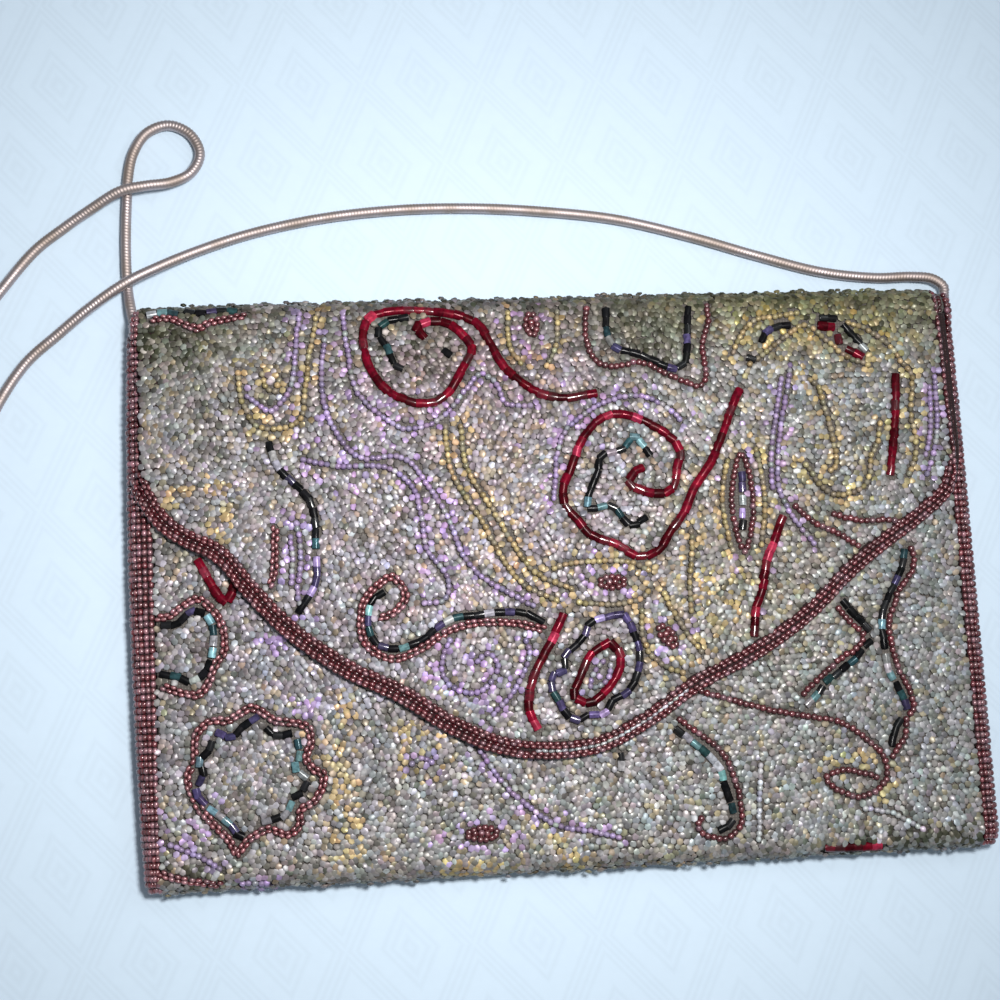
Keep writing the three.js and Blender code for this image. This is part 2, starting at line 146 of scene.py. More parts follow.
# Ornament charted: the kind of bead, then x, y of each bend of the line
FLAP_CHART = [
    ("red_tube", [(-34, 63), (-36, 66), (-33, 67.5), (-28, 67), (-24, 63.5), (-22, 60), (-25, 54),
                  (-28, 49), (-32, 46), (-38, 46), (-45, 50), (-49, 57), (-50, 64), (-48.5, 68.5),
                  (-43, 71), (-34, 71), (-25, 69), (-20, 66.5), (-17, 61), (-14, 55), (-9, 50),
                  (-4, 47), (2, 46), (10, 47)]),
    ("dark_tube", [(-38, 69), (-44, 67.5), (-46, 65), (-44, 61), (-42, 56), (-40, 55)]),
    ("dark_tube", [(-30, 60), (-27, 58)]),
    ("red_tube", [(21, 27), (19, 26), (17, 23), (20, 21), (24, 20), (28, 21), (30, 27), (31, 30),
                  (30, 33), (27, 36), (22, 39), (17, 41), (13, 41), (9, 39), (5, 34), (2, 27),
                  (0, 23), (0, 18), (3, 14), (6, 10), (13, 7), (18, 4), (23, 5), (27, 10),
                  (31, 15), (34, 21), (39, 28), (42, 34), (45, 41), (48, 47)]),
    ("dark_tube", [(23, 30), (19, 35), (16, 32), (10, 30), (9, 26), (7, 22), (6, 17), (12, 17),
                   (17, 12), (21, 14)]),
    ("dark_red_row", [(9, 71), (8, 64), (9, 58), (11, 55), (16, 54), (22, 55), (28, 52), (34, 49),
                      (37, 48), (39, 50), (39, 59), (41, 66), (41, 71)]),
    ("dark_tube", [(14, 70), (14, 62), (16, 59), (22, 57), (26, 55), (31, 53), (34, 55), (35, 61),
                   (36, 70)]),
    ("dark_tube", [(50.2, 55.7), (53.4, 54.4)]),
    ("dark_tube", [(54.8, 59.6), (56.7, 62.4), (59.8, 63.8), (63.2, 64.1)]),
    ("red_tube", [(71, 63.8), (75, 63.4)]),
    ("red_tube", [(75.8, 61.6), (76.4, 58.1)]),
    ("red_tube", [(78.2, 57.3), (82.2, 54.9)]),
    ("dark_tube", [(71.8, 66), (75.7, 65.9)]),
    ("dark_tube", [(77.7, 64), (80.4, 60.5), (83.6, 56.7)]),
    ("red_tube", [(91, 50), (90, 42), (89, 34), (87, 23)]),
    ("red_tube", [(57, 13), (54, 6), (52, 2), (50, -6), (48, -11), (47, -18)]),
    ("red_tube", [(-2, -10), (-5, -16), (-8, -21), (-11, -27), (-12, -34), (-10, -39)]),
    ("violet_tube", [(47, 25), (46.6, 19.5)]),
    # A pale tube in the middle of the tall almond's violet core stands for its white glint: painted glint
    ("silver_tube", [(46.6, 19), (46.4, 16)]),
    ("violet_tube", [(46.4, 15.5), (46, 9.5)]),
    ("dark_red_row", [(60, 16), (65, 11), (71, 8), (77, 4)]),
    ("dark_red_row", [(70, 13), (78, 11), (86, 11), (89, 10)]),
    ("dark_tube", [(-75, 37), (-74, 33), (-72, 29), (-68, 25), (-65, 21), (-64, 16), (-64, 9)]),
    ("violet_tube", [(-64, 7), (-64, 2), (-65, -1), (-69, -7)]),
    ("dark_red", [(-74, 15), (-75, 2), (-76, 0)]),
    ("dark_red", [(-49, -9), (-45, -8), (-42, -4), (-45, 1), (-49, -1), (-52.5, -5), (-53.5, -11),
                  (-52, -16), (-46, -19.5), (-38, -17), (-33, -14), (-28, -12), (-22, -11.5),
                  (-14, -12), (-7, -14)]),
    ("dark_tube", [(-47, -2.5), (-50.5, -5), (-51.5, -11), (-49.5, -15.5), (-44, -17), (-38, -15),
                   (-34, -12), (-30, -10), (-24, -9.5), (-18, -9), (-12, -9.5), (-7, -12)]),
    ("iris_tube", [(13.5, -10.7), (15.9, -15.7), (16.9, -21.9), (15.6, -27.2), (13.2, -30.6), (9.4, -32.6),
                   (7, -35.6), (3, -35.9), (0.2, -37), (-2.3, -35.6), (-4.4, -32), (-6, -28.4), (-5.3, -25.4),
                   (-2.6, -24.2), (-2.2, -20.6), (0.4, -18.5), (3.3, -15.6), (4.4, -12.9), (8, -11.5),
                   (13.5, -10.7)]),
    ("red_tube", [(9.5, -17.6), (12, -21.3), (10.8, -26.1), (7.3, -30.4), (3.2, -32.8), (-0.3, -30.9),
                  (1.3, -26.5), (4.3, -20.9), (9.5, -17.6)]),
    ("lilac", [(8, -22), (4.5, -26), (4, -29), (8, -27.5), (9.5, -23)]),
    ("lilac", [(-55, 70), (-54, 59), (-52, 49), (-44, 41), (-40, 39), (-34, 40), (-29, 43),
               (-24, 49), (-20, 53), (-16, 50), (-14, 45), (-7, 44)]),
    ("lilac", [(-60, 64), (-61, 49), (-58, 39), (-52, 32), (-43, 32), (-39, 30), (-35, 24),
               (-30, 15), (-27, 6), (-22, 0), (-16, -4), (-9, -8)]),
    ("lilac", [(-67, 32), (-58, 30), (-45, 29), (-39, 24), (-37, 16), (-36, 8), (-31, 0),
               (-32, -5), (-38, -6)]),
    ("lilac", [(-3, 19), (-1, 32), (1, 37), (11, 44), (19, 46), (26, 44), (32, 39)]),
    ("lilac", [(62.2, 53.8), (60.6, 45.7), (58.9, 39.6), (57.5, 32.9), (56.6, 26.3), (56.5, 20.6),
               (58.3, 14.9), (65, 5)]),
    ("lilac", [(59.5, 50), (57.3, 40), (55.6, 33), (54.8, 26), (54.8, 20)]),
    ("lilac", [(101.8, 49.9), (101, 34.7), (99, 27.1), (96.7, 22.3)]),
    ("lilac", [(100, 47), (99.2, 35), (97.2, 27.5)]),
    ("lilac", [(-12, -15.8), (-11.3, -19.8), (-12.8, -24.1), (-15.8, -29.2), (-20, -33.4), (-22.8, -35.9)]),
    ("lilac", [(-31, -14.9), (-33, -19.2), (-33.4, -24.1), (-31.6, -26.7), (-28.6, -28.6), (-24.6, -28.8),
               (-20.9, -25.9), (-19.4, -22), (-21.9, -19.3), (-25.1, -21.4)]),
    ("lilac", [(-80.6, 49.4), (-77.4, 46.7), (-74.4, 44.8), (-71.3, 47.3), (-69.1, 50.4), (-67.9, 56.9),
               (-67.2, 63.5), (-65.9, 71.4)]),
    ("lilac", [(-68.7, 16.4), (-67.9, 10.1), (-68.1, 3.7), (-69, -1.3), (-68, -6.8)]),
    ("lilac", [(-70.3, 13), (-69.9, 7), (-70.5, 0)]),
    ("gold", [(-82.2, 56), (-81.4, 48.2), (-78.3, 41.6), (-73.3, 40.1), (-66.9, 42.5), (-65.3, 50.3),
              (-63.7, 60.8), (-61.3, 71.3)]),
    ("gold", [(-76.1, 55.3), (-75.2, 51.1), (-73.2, 50), (-71.6, 53.6)]),
    ("gold_haze", [(-101.5, 22), (-94.8, 25.8), (-87.3, 25.2), (-85.3, 21.3), (-90.3, 13.6)]),
    ("gold", [(-4.5, 1.4), (-2.3, 2.2), (3.8, 3), (10.3, 3), (16.7, 2.2), (21.3, -0.3)]),
    ("gold", [(1.5, -7.2), (6.6, -8), (12.6, -8.1), (18.3, -7), (20.6, -4.6)]),
    ("gold", [(18.4, -9.3), (17.8, -14.3), (19.1, -20.3), (23.6, -24.7), (28.6, -26.6)]),
    ("gold", [(24, -5.1), (27, -12.1), (30.1, -17.3), (33.3, -21.7)]),
    ("gold", [(32.5, 10.5), (32.2, 4), (31.1, -3.7), (31, -11.4)]),
    ("gold_haze", [(44.3, -1.7), (42.9, -9.3), (41, -17)]),
    ("gold_haze", [(35.9, -3), (35, -9.9), (36.7, -15.9)]),
    ("gold", [(-30, 40), (-29, 28), (-22, 15), (-13, -1), (-3, -7)]),
    ("gold", [(-26, 40), (-25, 29), (-18, 16), (-9, 1), (1, -4)]),
    ("gold", [(-12, 70), (-12, 60), (-9, 55)]),
    ("gold", [(1, 70), (0, 60), (-3, 54)]),
    ("gold", [(85.4, 37.4), (84.3, 32.5), (82, 27.7), (81.3, 23.3), (79.2, 19.8), (75.5, 18.4), (71.4, 18.1),
              (67.6, 20.7), (65.5, 24.3), (63.7, 26.8)]),
    ("gold", [(66.6, 49.4), (69.1, 47.1), (70, 43.2), (71.7, 35.1), (72.2, 25.8), (70.1, 24.1)]),
    ("gold", [(50.5, 53.2), (54.7, 56), (58.1, 58.4), (62.8, 61.9), (67.5, 64.2), (70.9, 61.4), (74.3, 58.2),
              (77.2, 55.4), (81.1, 53.6), (84.2, 52.5)]),
    ("gold", [(46.7, 56.4), (49.3, 61.3), (53.7, 65.7), (59.2, 66.7), (66, 67.7)]),
    ("gold", [(78.4, 64.6), (83.8, 62.9), (87.6, 60.1), (90.6, 57.3), (92.9, 53.4), (95.2, 50.1),
              (94.9, 44.7), (94, 38.5), (95, 31.7), (93.4, 25.5), (91.6, 22.5)]),
    ("gold", [(43.4, 28.6), (41.9, 22.9), (41.2, 18.1), (41.4, 12.9), (43, 4)]),
    ("gold", [(50.9, 31.4), (51.7, 26.5), (52.3, 22.1), (52.4, 16), (50.5, 5)]),
    ("teal_tube", [(-105.5, 72.2), (-101, 73), (-97, 72.2)]),
    ("dark_tube", [(-95.5, 73), (-91, 72.3), (-87, 73.1), (-82, 72.6)]),
    ("dark_red", [(-104, 70.5), (-99, 70.5), (-95, 68.5), (-92, 67.5), (-89, 69), (-84, 70), (-80, 70.5)]),
]

FRONT_CHART = [
    ("red_tube", [(-94, 8), (-87, -3), (-84.5, 2)]),
    ("dark_red", [(-86.1, -66.3), (-87.3, -62.9), (-89.4, -60.2), (-92.7, -56.6), (-94.7, -54),
                  (-96.4, -50.5), (-97.5, -46.2), (-95.7, -42.4), (-95.6, -38.6), (-94.7, -35.2),
                  (-91.2, -32.7), (-86.9, -32.7), (-83.8, -30.9), (-81.2, -29.8), (-78.2, -31.6),
                  (-75.3, -33.5), (-70.5, -34.2), (-67.5, -35.6), (-66.8, -39.1), (-68.2, -43),
                  (-66.6, -45.6), (-64, -47.5), (-65.1, -51.7), (-67.3, -54.2), (-69.9, -55.7),
                  (-70.5, -59.6), (-73.6, -61.5), (-77.4, -60), (-80.4, -60.7), (-83.5, -62.7),
                  (-86.1, -66.3)]),
    ("violet_tube", [(-90.4, -35.6), (-86.6, -36.9), (-83.5, -34.4), (-79.6, -32)]),
    ("dark_tube", [(-77.9, -35.1), (-75.4, -37), (-71.5, -36.7)]),
    ("teal_tube", [(-70.2, -38.1), (-69.9, -42), (-70.9, -45.4), (-68, -48.1)]),
    ("dark_tube", [(-68, -48.5), (-69.8, -51.5), (-72, -52.6)]),
    ("teal_tube", [(-72, -53.5), (-73.8, -56.4), (-76.5, -57.5), (-79.5, -58.2)]),
    ("dark_tube", [(-84.3, -61.3), (-85.5, -60.8), (-87.2, -58.6)]),
    ("teal_tube", [(-87.4, -58.4), (-90.1, -55.9), (-92.6, -54.1)]),
    ("violet_tube", [(-93.4, -53.2), (-95.1, -51), (-95.6, -49.2)]),
    ("dark_tube", [(-95, -48.4), (-93.7, -45.5), (-94.5, -42.5), (-92.3, -40), (-91.3, -37.5)]),
    ("dark_red", [(-104.6, -6.3), (-101.3, -6.2), (-98.3, -4.1), (-93.9, -2.1), (-91.3, -4),
                  (-88.8, -7.1), (-87.6, -11.6), (-87.7, -15.5), (-90, -18.9), (-91.8, -23.2),
                  (-94.5, -26.1), (-97.9, -25.5), (-103.4, -23.5)]),
    ("dark_tube", [(-103.1, -8.3), (-99.2, -8), (-95.3, -5.1), (-92.3, -5.7)]),
    ("teal_tube", [(-92, -6.2), (-90.6, -8.8), (-90.3, -12.8), (-90.8, -17.1)]),
    ("dark_tube", [(-91, -17.6), (-93.1, -21), (-96.5, -22.5), (-100, -21.1), (-103.8, -20.5)]),
    ("dark_red_row", [(91.7, 4.2), (92.2, 1.1), (91.5, -2.4), (89.3, -5.1), (87, -7.9), (86, -10.9),
                      (84.5, -13.5), (83.8, -16.5), (84.4, -22.6), (85.6, -28.2), (87, -31.3),
                      (88.2, -34.4), (88.8, -37.9), (86.6, -41), (85.9, -45), (83.1, -49.1),
                      (81.7, -50.7)]),
    ("dark_tube", [(89.9, 3.4), (88.7, -1.4), (87.1, -4.4), (85.2, -7.4), (83.6, -10.4), (82.6, -12.9),
                   (81.9, -16.4), (82.3, -22.5)]),
    ("teal_tube", [(82.3, -24), (82.8, -28.1), (83.9, -30.5)]),
    ("dark_tube", [(84.4, -31.2), (86.1, -35.2), (86.9, -38.4)]),
    ("dark_tube", [(85.2, -40.7), (83.7, -42.7), (82.5, -45.7), (81.9, -47.6)]),
    ("dark_red_row", [(32, -31), (41, -34), (51, -37), (61, -39), (69, -41), (76, -46), (80, -51),
                  (80, -55), (78, -58), (72, -60), (67, -58), (64, -55), (68, -53), (74, -54),
                  (78, -55.5)]),
    ("dark_red_row", [(70.2, -10.7), (72.4, -14), (74.8, -16.5), (76.9, -19.1), (74.3, -22.3),
                      (71.1, -23.9), (68.3, -25.9), (65.4, -28.2), (62.6, -30.4), (59.2, -33.7)]),
    ("dark_tube", [(71.8, -9.2), (73.9, -12.1), (76.3, -14.9), (78.7, -17.8)]),
    ("violet_tube", [(79, -20), (76.6, -21.8)]),
    ("dark_tube", [(76.2, -22.5), (73.9, -24.9), (71.4, -26.5), (69.7, -27.7), (65.3, -30.6)]),
    ("teal_tube", [(64.9, -31.6), (62.8, -33.8), (60.2, -36.1)]),
    ("dark_red_row", [(26, -37.7), (30.5, -41.1), (35.5, -45.2), (38.2, -48.9), (39.8, -53.3),
                      (41, -57.3), (41.4, -61.6), (40.8, -65.5), (37.9, -68.2), (35.6, -68.6),
                      (31.3, -67.2), (29.9, -65.6), (30.4, -63.7), (31.6, -62.7)]),
    ("dark_tube", [(25.3, -40.3), (26.8, -41.5), (29.5, -43.6)]),
    ("teal_tube", [(29.6, -43.8), (32.2, -46.2), (35, -49.1), (36.6, -51.6), (37.1, -54.1)]),
    ("violet_tube", [(37.2, -54.3), (38.5, -59.3)]),
    ("teal_tube", [(38.6, -59.3), (39.4, -63)]),
    ("dark_tube", [(39.1, -64), (37.7, -65.5), (35.4, -66.5)]),
    ("dark_tube", [(11, -46), (11, -50)]),
    ("red_tube", [(63, -73.2), (77.5, -73.4)]),
    ("dark_red", [(-105, -69), (-99.3, -71.3), (-93.4, -72.5), (-90, -73.3)]),
    ("lilac", [(-85.6, -73.2), (-78, -73.6)]),
    ("lilac", [(-25, -43), (-19, -52), (-13, -58), (-6, -63), (3, -65), (10, -67)]),
    ("lilac", [(-102.7, -62.1), (-99, -64), (-94.8, -65.9), (-89.7, -69.2)]),
    ("gold_haze", [(-70, -37), (-61, -48), (-61, -67)]),
    ("gold_haze", [(-58, -29), (-59, -45), (-57, -67)]),
    ("gold_haze", [(-33, -72.5), (-24, -73.5)]),
    ("gold_haze", [(-11, -64.5), (-4, -69), (0, -73)]),
    ("gold_haze", [(-46, -40), (-40, -38), (-35, -43), (-39, -48), (-44, -46)]),
    ("gold_haze", [(63.3, -54), (70.2, -50.6), (77.8, -54), (78.5, -61.1)]),
    ("lilac", [(-42.5, -46), (-39.5, -44.5), (-36.5, -46)]),
    ("pale", [(47, -50), (46.2, -60), (45.4, -70)]),
    ("pale", [(73, -62.9), (80.8, -64.6), (85.8, -67.4), (89.3, -69.6)]),
]

# Almonds of dark red beads: x, y, length, width, turn in degrees
FLAP_ALMONDS = [(-6, 66, 6.5, 3, 90), (11, -2.5, 7, 3, 0), (24.5, -17, 7, 2.8, -55)]
TALL_ALMOND = (46.5, 17, 26, 5.6, 88)
FRONT_ALMONDS = [(-25, -64, 8, 3, 0)]

# Drifts of another bead colour in the ground: colour, x, y, reach across, reach up, share
DRIFTS = [
    ("champagne", 74, 60, 22, 9, 0.8), ("champagne", 47, 18, 11, 18, 0.6),
    ("champagne", 22, -9, 12, 8, 0.6), ("champagne", -74, 50, 12, 10, 0.5),
    ("champagne", -20, 22, 12, 24, 0.4), ("champagne", -62, -52, 6, 16, 0.5),
    ("champagne", -12, -66, 18, 4, 0.5), ("champagne", 78, 30, 12, 16, 0.35),
    ("lilac", -52, 38, 14, 14, 0.2), ("lilac", -27, -24, 11, 8, 0.3),
    ("lilac", -68, 6, 5, 12, 0.3), ("lilac", 4, 40, 12, 8, 0.2), ("lilac", -96, -60, 10, 6, 0.25),
    ("smoke", 25, 62, 10, 8, 1.6), ("smoke", -34, 57, 8, 6, 1.2), ("smoke", -90, 66, 26, 8, 0.7),
    ("smoke", 0, 72, 110, 4, 0.5), ("smoke", 15, 24, 9, 9, 0.4), ("smoke", -81, -47, 10, 10, 0.35),
    ("smoke", -98, -14, 7, 7, 0.5), ("lilac", -6, 66, 4, 6, 1.2), ("lilac", 10, -2, 8, 4, 1.2),
    ("lilac", 24, -17, 5, 5, 1.2), ("lilac", 47, 17, 6, 14, 0.6), ("lilac", -25, -64, 8, 4, 1.2),
    ("lilac", -76, -13, 4, 2, 1.6), ("lilac", -66.5, -31.5, 3, 2.5, 1.6), ("olive", -99, 65, 9, 5, 1.8),
    ("olive", 25, 64, 9, 7, 0.4), ("olive", -36, 57, 8, 7, 0.35), ("olive", 0, 73, 110, 3, 0.3),
    ("olive", 88, 64, 14, 7, 0.25), ("olive", -98, -70, 8, 3, 0.6),
    ("olive", 92, -71, 14, 2.2, 1.3),
]

# Where the whole ground leans to another tint: x, y, reach across, reach up, tint
ZONES = [
    (-15, 12, 52, 45, (1.05, 0.95, 1.04)), (-75, -15, 36, 40, (1.0, 1.0, 1.1)),
    (72, 70, 48, 11, (0.86, 0.83, 0.44)), (52, 0, 22, 32, (1.03, 0.97, 0.84)),
    # The first zone below darkens the band along the top fold: painted shade where the fold turns away from
    # the light
    (0, 74, 130, 14, (0.72, 0.70, 0.66)), (60, -18, 36, 28, (0.94, 0.96, 0.96)),
    (0, -62, 130, 10, (1.15, 1.17, 1.15)), (-20, 54, 34, 14, (0.86, 0.72, 0.78)),
    (-98, 67, 18, 9, (0.7, 0.74, 0.6)), (25, 62, 10, 9, (0.72, 0.76, 0.68)),
    (-96, 50, 26, 10, (0.9, 0.92, 0.9)), (0, -76, 130, 4, (1.04, 1.0, 0.88)),
]

# Shape of the crowned pouch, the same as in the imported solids


def seam_height(y):
    """Thickness of the pouch along its side seams."""
    rise = np.clip((y - DIP_START) / (FOLD_Y - DIP_START), 0, None)
    return SIDE_HEIGHT - FOLD_DIP * rise ** 2


def crown(x, y):
    """How much the front stands above the seams."""
    across = np.clip(1 - np.abs(x / PANEL_HALF) ** CROWN_BREADTH, 0, None)
    fall = np.clip((CROWN_TOP_Y - y) / (CROWN_TOP_Y - HEM_Y), 0, None)
    return CROWN * across * (1 - fall ** 3)


def front_height(x, y):
    """Height of the bead tops on the front."""
    return seam_height(y) + crown(x, y)


def flap_height(x, y):
    """Height of the bead tops on the flap."""
    over = np.clip((np.abs(x) - PANEL_HALF) / (FLAP_HALF - PANEL_HALF), 0, None)
    return front_height(x, y) + FLAP_CLEARANCE + WALL - FLAP_DROOP * over ** 2


def unit(vectors):
    """Vectors cut to length 1."""
    return vectors / np.linalg.norm(vectors, axis=-1, keepdims=True)


def on_height(height, x, y):
    """Points on a surface z = height(x, y), and the way that it faces."""
    step = 0.1
    slope_x = (height(x + step, y) - height(x - step, y)) / (2 * step)
    slope_y = (height(x, y + step) - height(x, y - step)) / (2 * step)
    points = np.stack([x, y, height(x, y)], -1)
    return points, unit(np.stack([-slope_x, -slope_y, np.ones_like(x)], -1))


def arc_table(across, up):
    """Angles of a half ellipse from -90 (underneath) to 90 degrees, and the distance round it to each."""
    angles = np.linspace(-math.pi / 2, math.pi / 2, 200)
    steps = np.hypot(np.diff(across * np.cos(angles)), np.diff(up * np.sin(angles)))
    return angles, np.concatenate([[0], np.cumsum(steps)])


FOLD_ANGLES, FOLD_ARC = arc_table(FOLD_DEPTH, flap_height(np.array(0.0), FOLD_Y) / 2)
HEM_ANGLES, HEM_ARC = arc_table(HEM_DEPTH, SIDE_HEIGHT / 2)
FOLD_RUN = FOLD_ARC[-1]
HEM_RUN = HEM_ARC[-1]


def on_fold(x, angle):
    """The top fold, from -90 degrees at the back to 90 at the flap."""
    half = flap_height(x, np.full_like(x, FOLD_Y)) / 2
    points = np.stack([x, FOLD_Y + FOLD_DEPTH * np.cos(angle), half + half * np.sin(angle)], -1)
    way = np.stack([np.zeros_like(x), np.cos(angle) / FOLD_DEPTH, np.sin(angle) / half], -1)
    return points, unit(way)


def on_hem(x, angle):
    """The bottom fold, from -90 degrees at the back to 90 at the front."""
    half = SIDE_HEIGHT / 2
    points = np.stack([x, HEM_Y - HEM_DEPTH * np.cos(angle), half + half * np.sin(angle)], -1)
    way = np.stack([np.zeros_like(x), -np.cos(angle) / HEM_DEPTH, np.sin(angle) / half], -1)
    return points, unit(way)


def on_back(x, y):
    """The flat back, facing the table."""
    points = np.stack([x, y, np.zeros_like(x)], -1)
    return points, np.broadcast_to([0.0, 0.0, -1.0], points.shape)


def side_width(side, y):
    """Width of a side binding, seen from the front."""
    away = (np.maximum(y, HEM_Y) - LEFT_FULL_Y) / TOP_Y
    return np.where(side < 0, LEFT_WIDTH - LEFT_TUCK - LEFT_TAPER * away ** 2, RIGHT_WIDTH)


def on_side(side, angle, y, swell=0.0):
    """The rounded side binding, at an angle of its section from -90 (back) to 90 degrees (front)."""
    under = np.arcsin(np.clip((HEM_Y - y) / HEM_DEPTH, 0, CORNER_END))
    over = np.arcsin(np.clip((y - FOLD_Y) / FOLD_DEPTH, 0, CORNER_END))
    closing = np.cos(under + over)
    depth = side_width(side, y) * (1 - CORNER_SHARE + CORNER_SHARE * closing)
    swelling = np.clip((y - SIDE_TOP_Y + SWELL_RUN) / SWELL_RUN, 0, 1)
    centre = seam_height(np.clip(y, HEM_Y, FOLD_Y)) / 2 + swell * swelling
    half = centre * closing

    def place(a):
        reach = np.abs(np.cos(a)) ** (2 / SIDE_FULLNESS)
        rise = np.sign(np.sin(a)) * np.abs(np.sin(a)) ** (2 / SIDE_FULLNESS)
        return side * (LIP_X + depth * reach), centre + half * rise

    x, z = place(angle)
    step = 0.02
    x_after, z_after = place(np.clip(angle + step, -math.pi / 2, math.pi / 2))
    x_before, z_before = place(np.clip(angle - step, -math.pi / 2, math.pi / 2))
    way_x, way_z = side * (z_after - z_before), -side * (x_after - x_before)
    inward = np.sin(over) - np.sin(under)
    return np.stack([x, y, z], -1), unit(np.stack([way_x, inward * np.hypot(way_x, way_z), way_z], -1))


# The same surfaces unrolled, and as they are seen from above


def pick(beyond, far, near):
    """Points and ways of one surface, and where they lie beyond it those of the next."""
    return [np.where(beyond[..., None], f, n) for f, n in zip(far, near)]


def flap_and_fold(x, y, angle):
    """The flap, and above it the fold at the given angles."""
    return pick(y > FOLD_Y, on_fold(x, angle), on_height(flap_height, x, np.minimum(y, FOLD_Y)))


def front_and_hem(x, y, angle):
    """The front, and below it the hem at the given angles."""
    return pick(y < HEM_Y, on_hem(x, angle), on_height(front_height, x, np.maximum(y, HEM_Y)))


def unrolled_flap(x, y):
    """The flap up to the fold, then on over the fold towards the back."""
    along = np.clip(y - FOLD_Y, 0, FOLD_RUN)
    return flap_and_fold(x, y, np.interp(FOLD_RUN - along, FOLD_ARC, FOLD_ANGLES))


def unrolled_front(x, y):
    """The front down to the hem, then on round the hem towards the back."""
    along = np.clip(HEM_Y - y, 0, HEM_RUN)
    return front_and_hem(x, y, np.interp(HEM_RUN - along, HEM_ARC, HEM_ANGLES))


def charted_flap(x, y):
    """The flap and its fold as seen from above."""
    return flap_and_fold(x, y, np.arccos(np.clip((y - FOLD_Y) / FOLD_DEPTH, 0, 1)))


def charted_front(x, y):
    """The front and its hem as seen from above."""
    return front_and_hem(x, y, np.arccos(np.clip((HEM_Y - y) / HEM_DEPTH, 0, 1)))


# Smooth lines through charted points


def dense_curve(points, cuts=24):
    """A centripetal spline through the points, cut finely."""
    points = np.asarray(points, float)
    ends = np.vstack([2 * points[0] - points[1], points, 2 * points[-1] - points[-2]])
    t = np.linspace(0, 1, cuts, endpoint=False)[:, None]
    runs = []
    for k in range(len(points) - 1):
        before, start, stop, after = ends[k:k + 4]
        d0, d1, d2 = (np.linalg.norm(b - a) ** 0.5 for a, b in
                      ((before, start), (start, stop), (stop, after)))
        leave = ((start - before) / d0 - (stop - before) / (d0 + d1) + (stop - start) / d1) * d1
        reach = ((stop - start) / d1 - (after - start) / (d1 + d2) + (after - stop) / d2) * d1
        runs.append((2 * t ** 3 - 3 * t ** 2 + 1) * start + (t ** 3 - 2 * t ** 2 + t) * leave
                    + (3 * t ** 2 - 2 * t ** 3) * stop + (t ** 3 - t ** 2) * reach)
    return np.vstack(runs + [points[-1:]])


def run_along(curve):
    """The distance along a finely cut curve to each of its points."""
    return np.concatenate([[0], np.cumsum(np.linalg.norm(np.diff(curve, axis=0), axis=1))])


def along_curve(curve, pitch, start=0.5):
    """Places and directions at an even pitch along a finely cut curve."""
    run = run_along(curve)
    count = max(1, round(run[-1] / pitch))
    at = (np.arange(count) + start) * run[-1] / count

    def places(at):
        return np.stack([np.interp(at, run, column) for column in curve.T], -1)

    reach = pitch * 0.3
    return places(at), unit(places(at + reach) - places(at - reach))


def beside(curve, shift):
    """A flat curve moved sideways, to its left."""
    way = unit(np.gradient(curve, axis=0))
    return curve + np.column_stack([-way[:, 1], way[:, 0]]) * np.reshape(shift, (-1, 1))


FLAP_OUTLINE = dense_curve(FLAP_EDGE)
BAND_OUTLINE = dense_curve(BAND_EDGE)
FREE_EDGE = BAND_OUTLINE[BAND_OUTLINE[:, 1] < FREE_TOP_Y]


def flap_bottom(x):
    """The flap's free edge below a given x."""
    return np.interp(x, FREE_EDGE[:, 0], FREE_EDGE[:, 1])


def nearest(points, targets):
    """Distance from each point to the nearest target, in the plane or in space."""
    points, targets = (np.pad(a, ((0, 0), (0, 3 - a.shape[1]))) for a in (points, targets))
    tree = kdtree.KDTree(len(targets))
    for k, target in enumerate(targets):
        tree.insert(target, k)
    tree.balance()
    return np.array([tree.find(point)[2] for point in points])


# Meshes from arrays


def joined_mesh(name, points, corners, starts, flat_map=None, tints=None, shading=None):
    """A mesh from arrays of points, face corners and each face's first corner, in millimetres."""
    mesh = bpy.data.meshes.new(name)
    mesh.vertices.add(len(points))
    mesh.vertices.foreach_set("co", (np.asarray(points) * MM).astype(np.float32).ravel())
    mesh.loops.add(len(corners))
    mesh.loops.foreach_set("vertex_index", np.asarray(corners, np.int32))
    mesh.polygons.add(len(starts))
    mesh.polygons.foreach_set("loop_start", np.asarray(starts, np.int32))
    mesh.polygons.foreach_set("use_smooth", np.full(len(starts), True))
    mesh.update(calc_edges=True)
    if flat_map is not None:
        layer = mesh.uv_layers.new(name="OFBake")
        layer.data.foreach_set("uv", np.asarray(flat_map, np.float32).ravel())
    if tints is not None:
        layer = mesh.color_attributes.new("bead_colour", "FLOAT_COLOR", "POINT")
        layer.data.foreach_set("color", np.asarray(tints, np.float32).ravel())
    mesh.validate()
    if shading is not None:
        mesh.normals_split_custom_set_from_vertices(np.asarray(shading, np.float32))
    return mesh


def add_piece(name, mesh, finish, replaced=()):
    """Links a piece, gives it its finish and lets it ride with the bag."""
    piece = bpy.data.objects.new(name, mesh)
    bpy.context.scene.collection.objects.link(piece)
    mesh.materials.append(finish)
    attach(piece, BODY)
    if replaced:
        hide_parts(*replaced)
    return piece


def shell_mesh(name, points, ways, near, far):
    """A thin closed cloth between two depths under a grid of outer points."""
    rows, columns = points.shape[:2]
    outer = points - ways * near
    inner = points - ways * far
    place = np.arange(rows * columns).reshape(rows, columns)
    shift = rows * columns
    a, b, c, d = place[:-1, :-1], place[:-1, 1:], place[1:, 1:], place[1:, :-1]
    skin = np.stack([a, b, c, d], -1).reshape(-1, 4)
    rim = np.concatenate([place[0, :], place[1:, -1], place[-1, -2::-1], place[-2:0:-1, 0]])
    after = np.roll(rim, -1)
    edge = np.stack([after, rim, rim + shift, after + shift], -1)
    faces = np.concatenate([skin, (skin + shift)[:, ::-1], edge])
    every = np.concatenate([outer.reshape(-1, 3), inner.reshape(-1, 3)])
    return joined_mesh(name, every, faces.ravel(), np.arange(len(faces)) * 4)


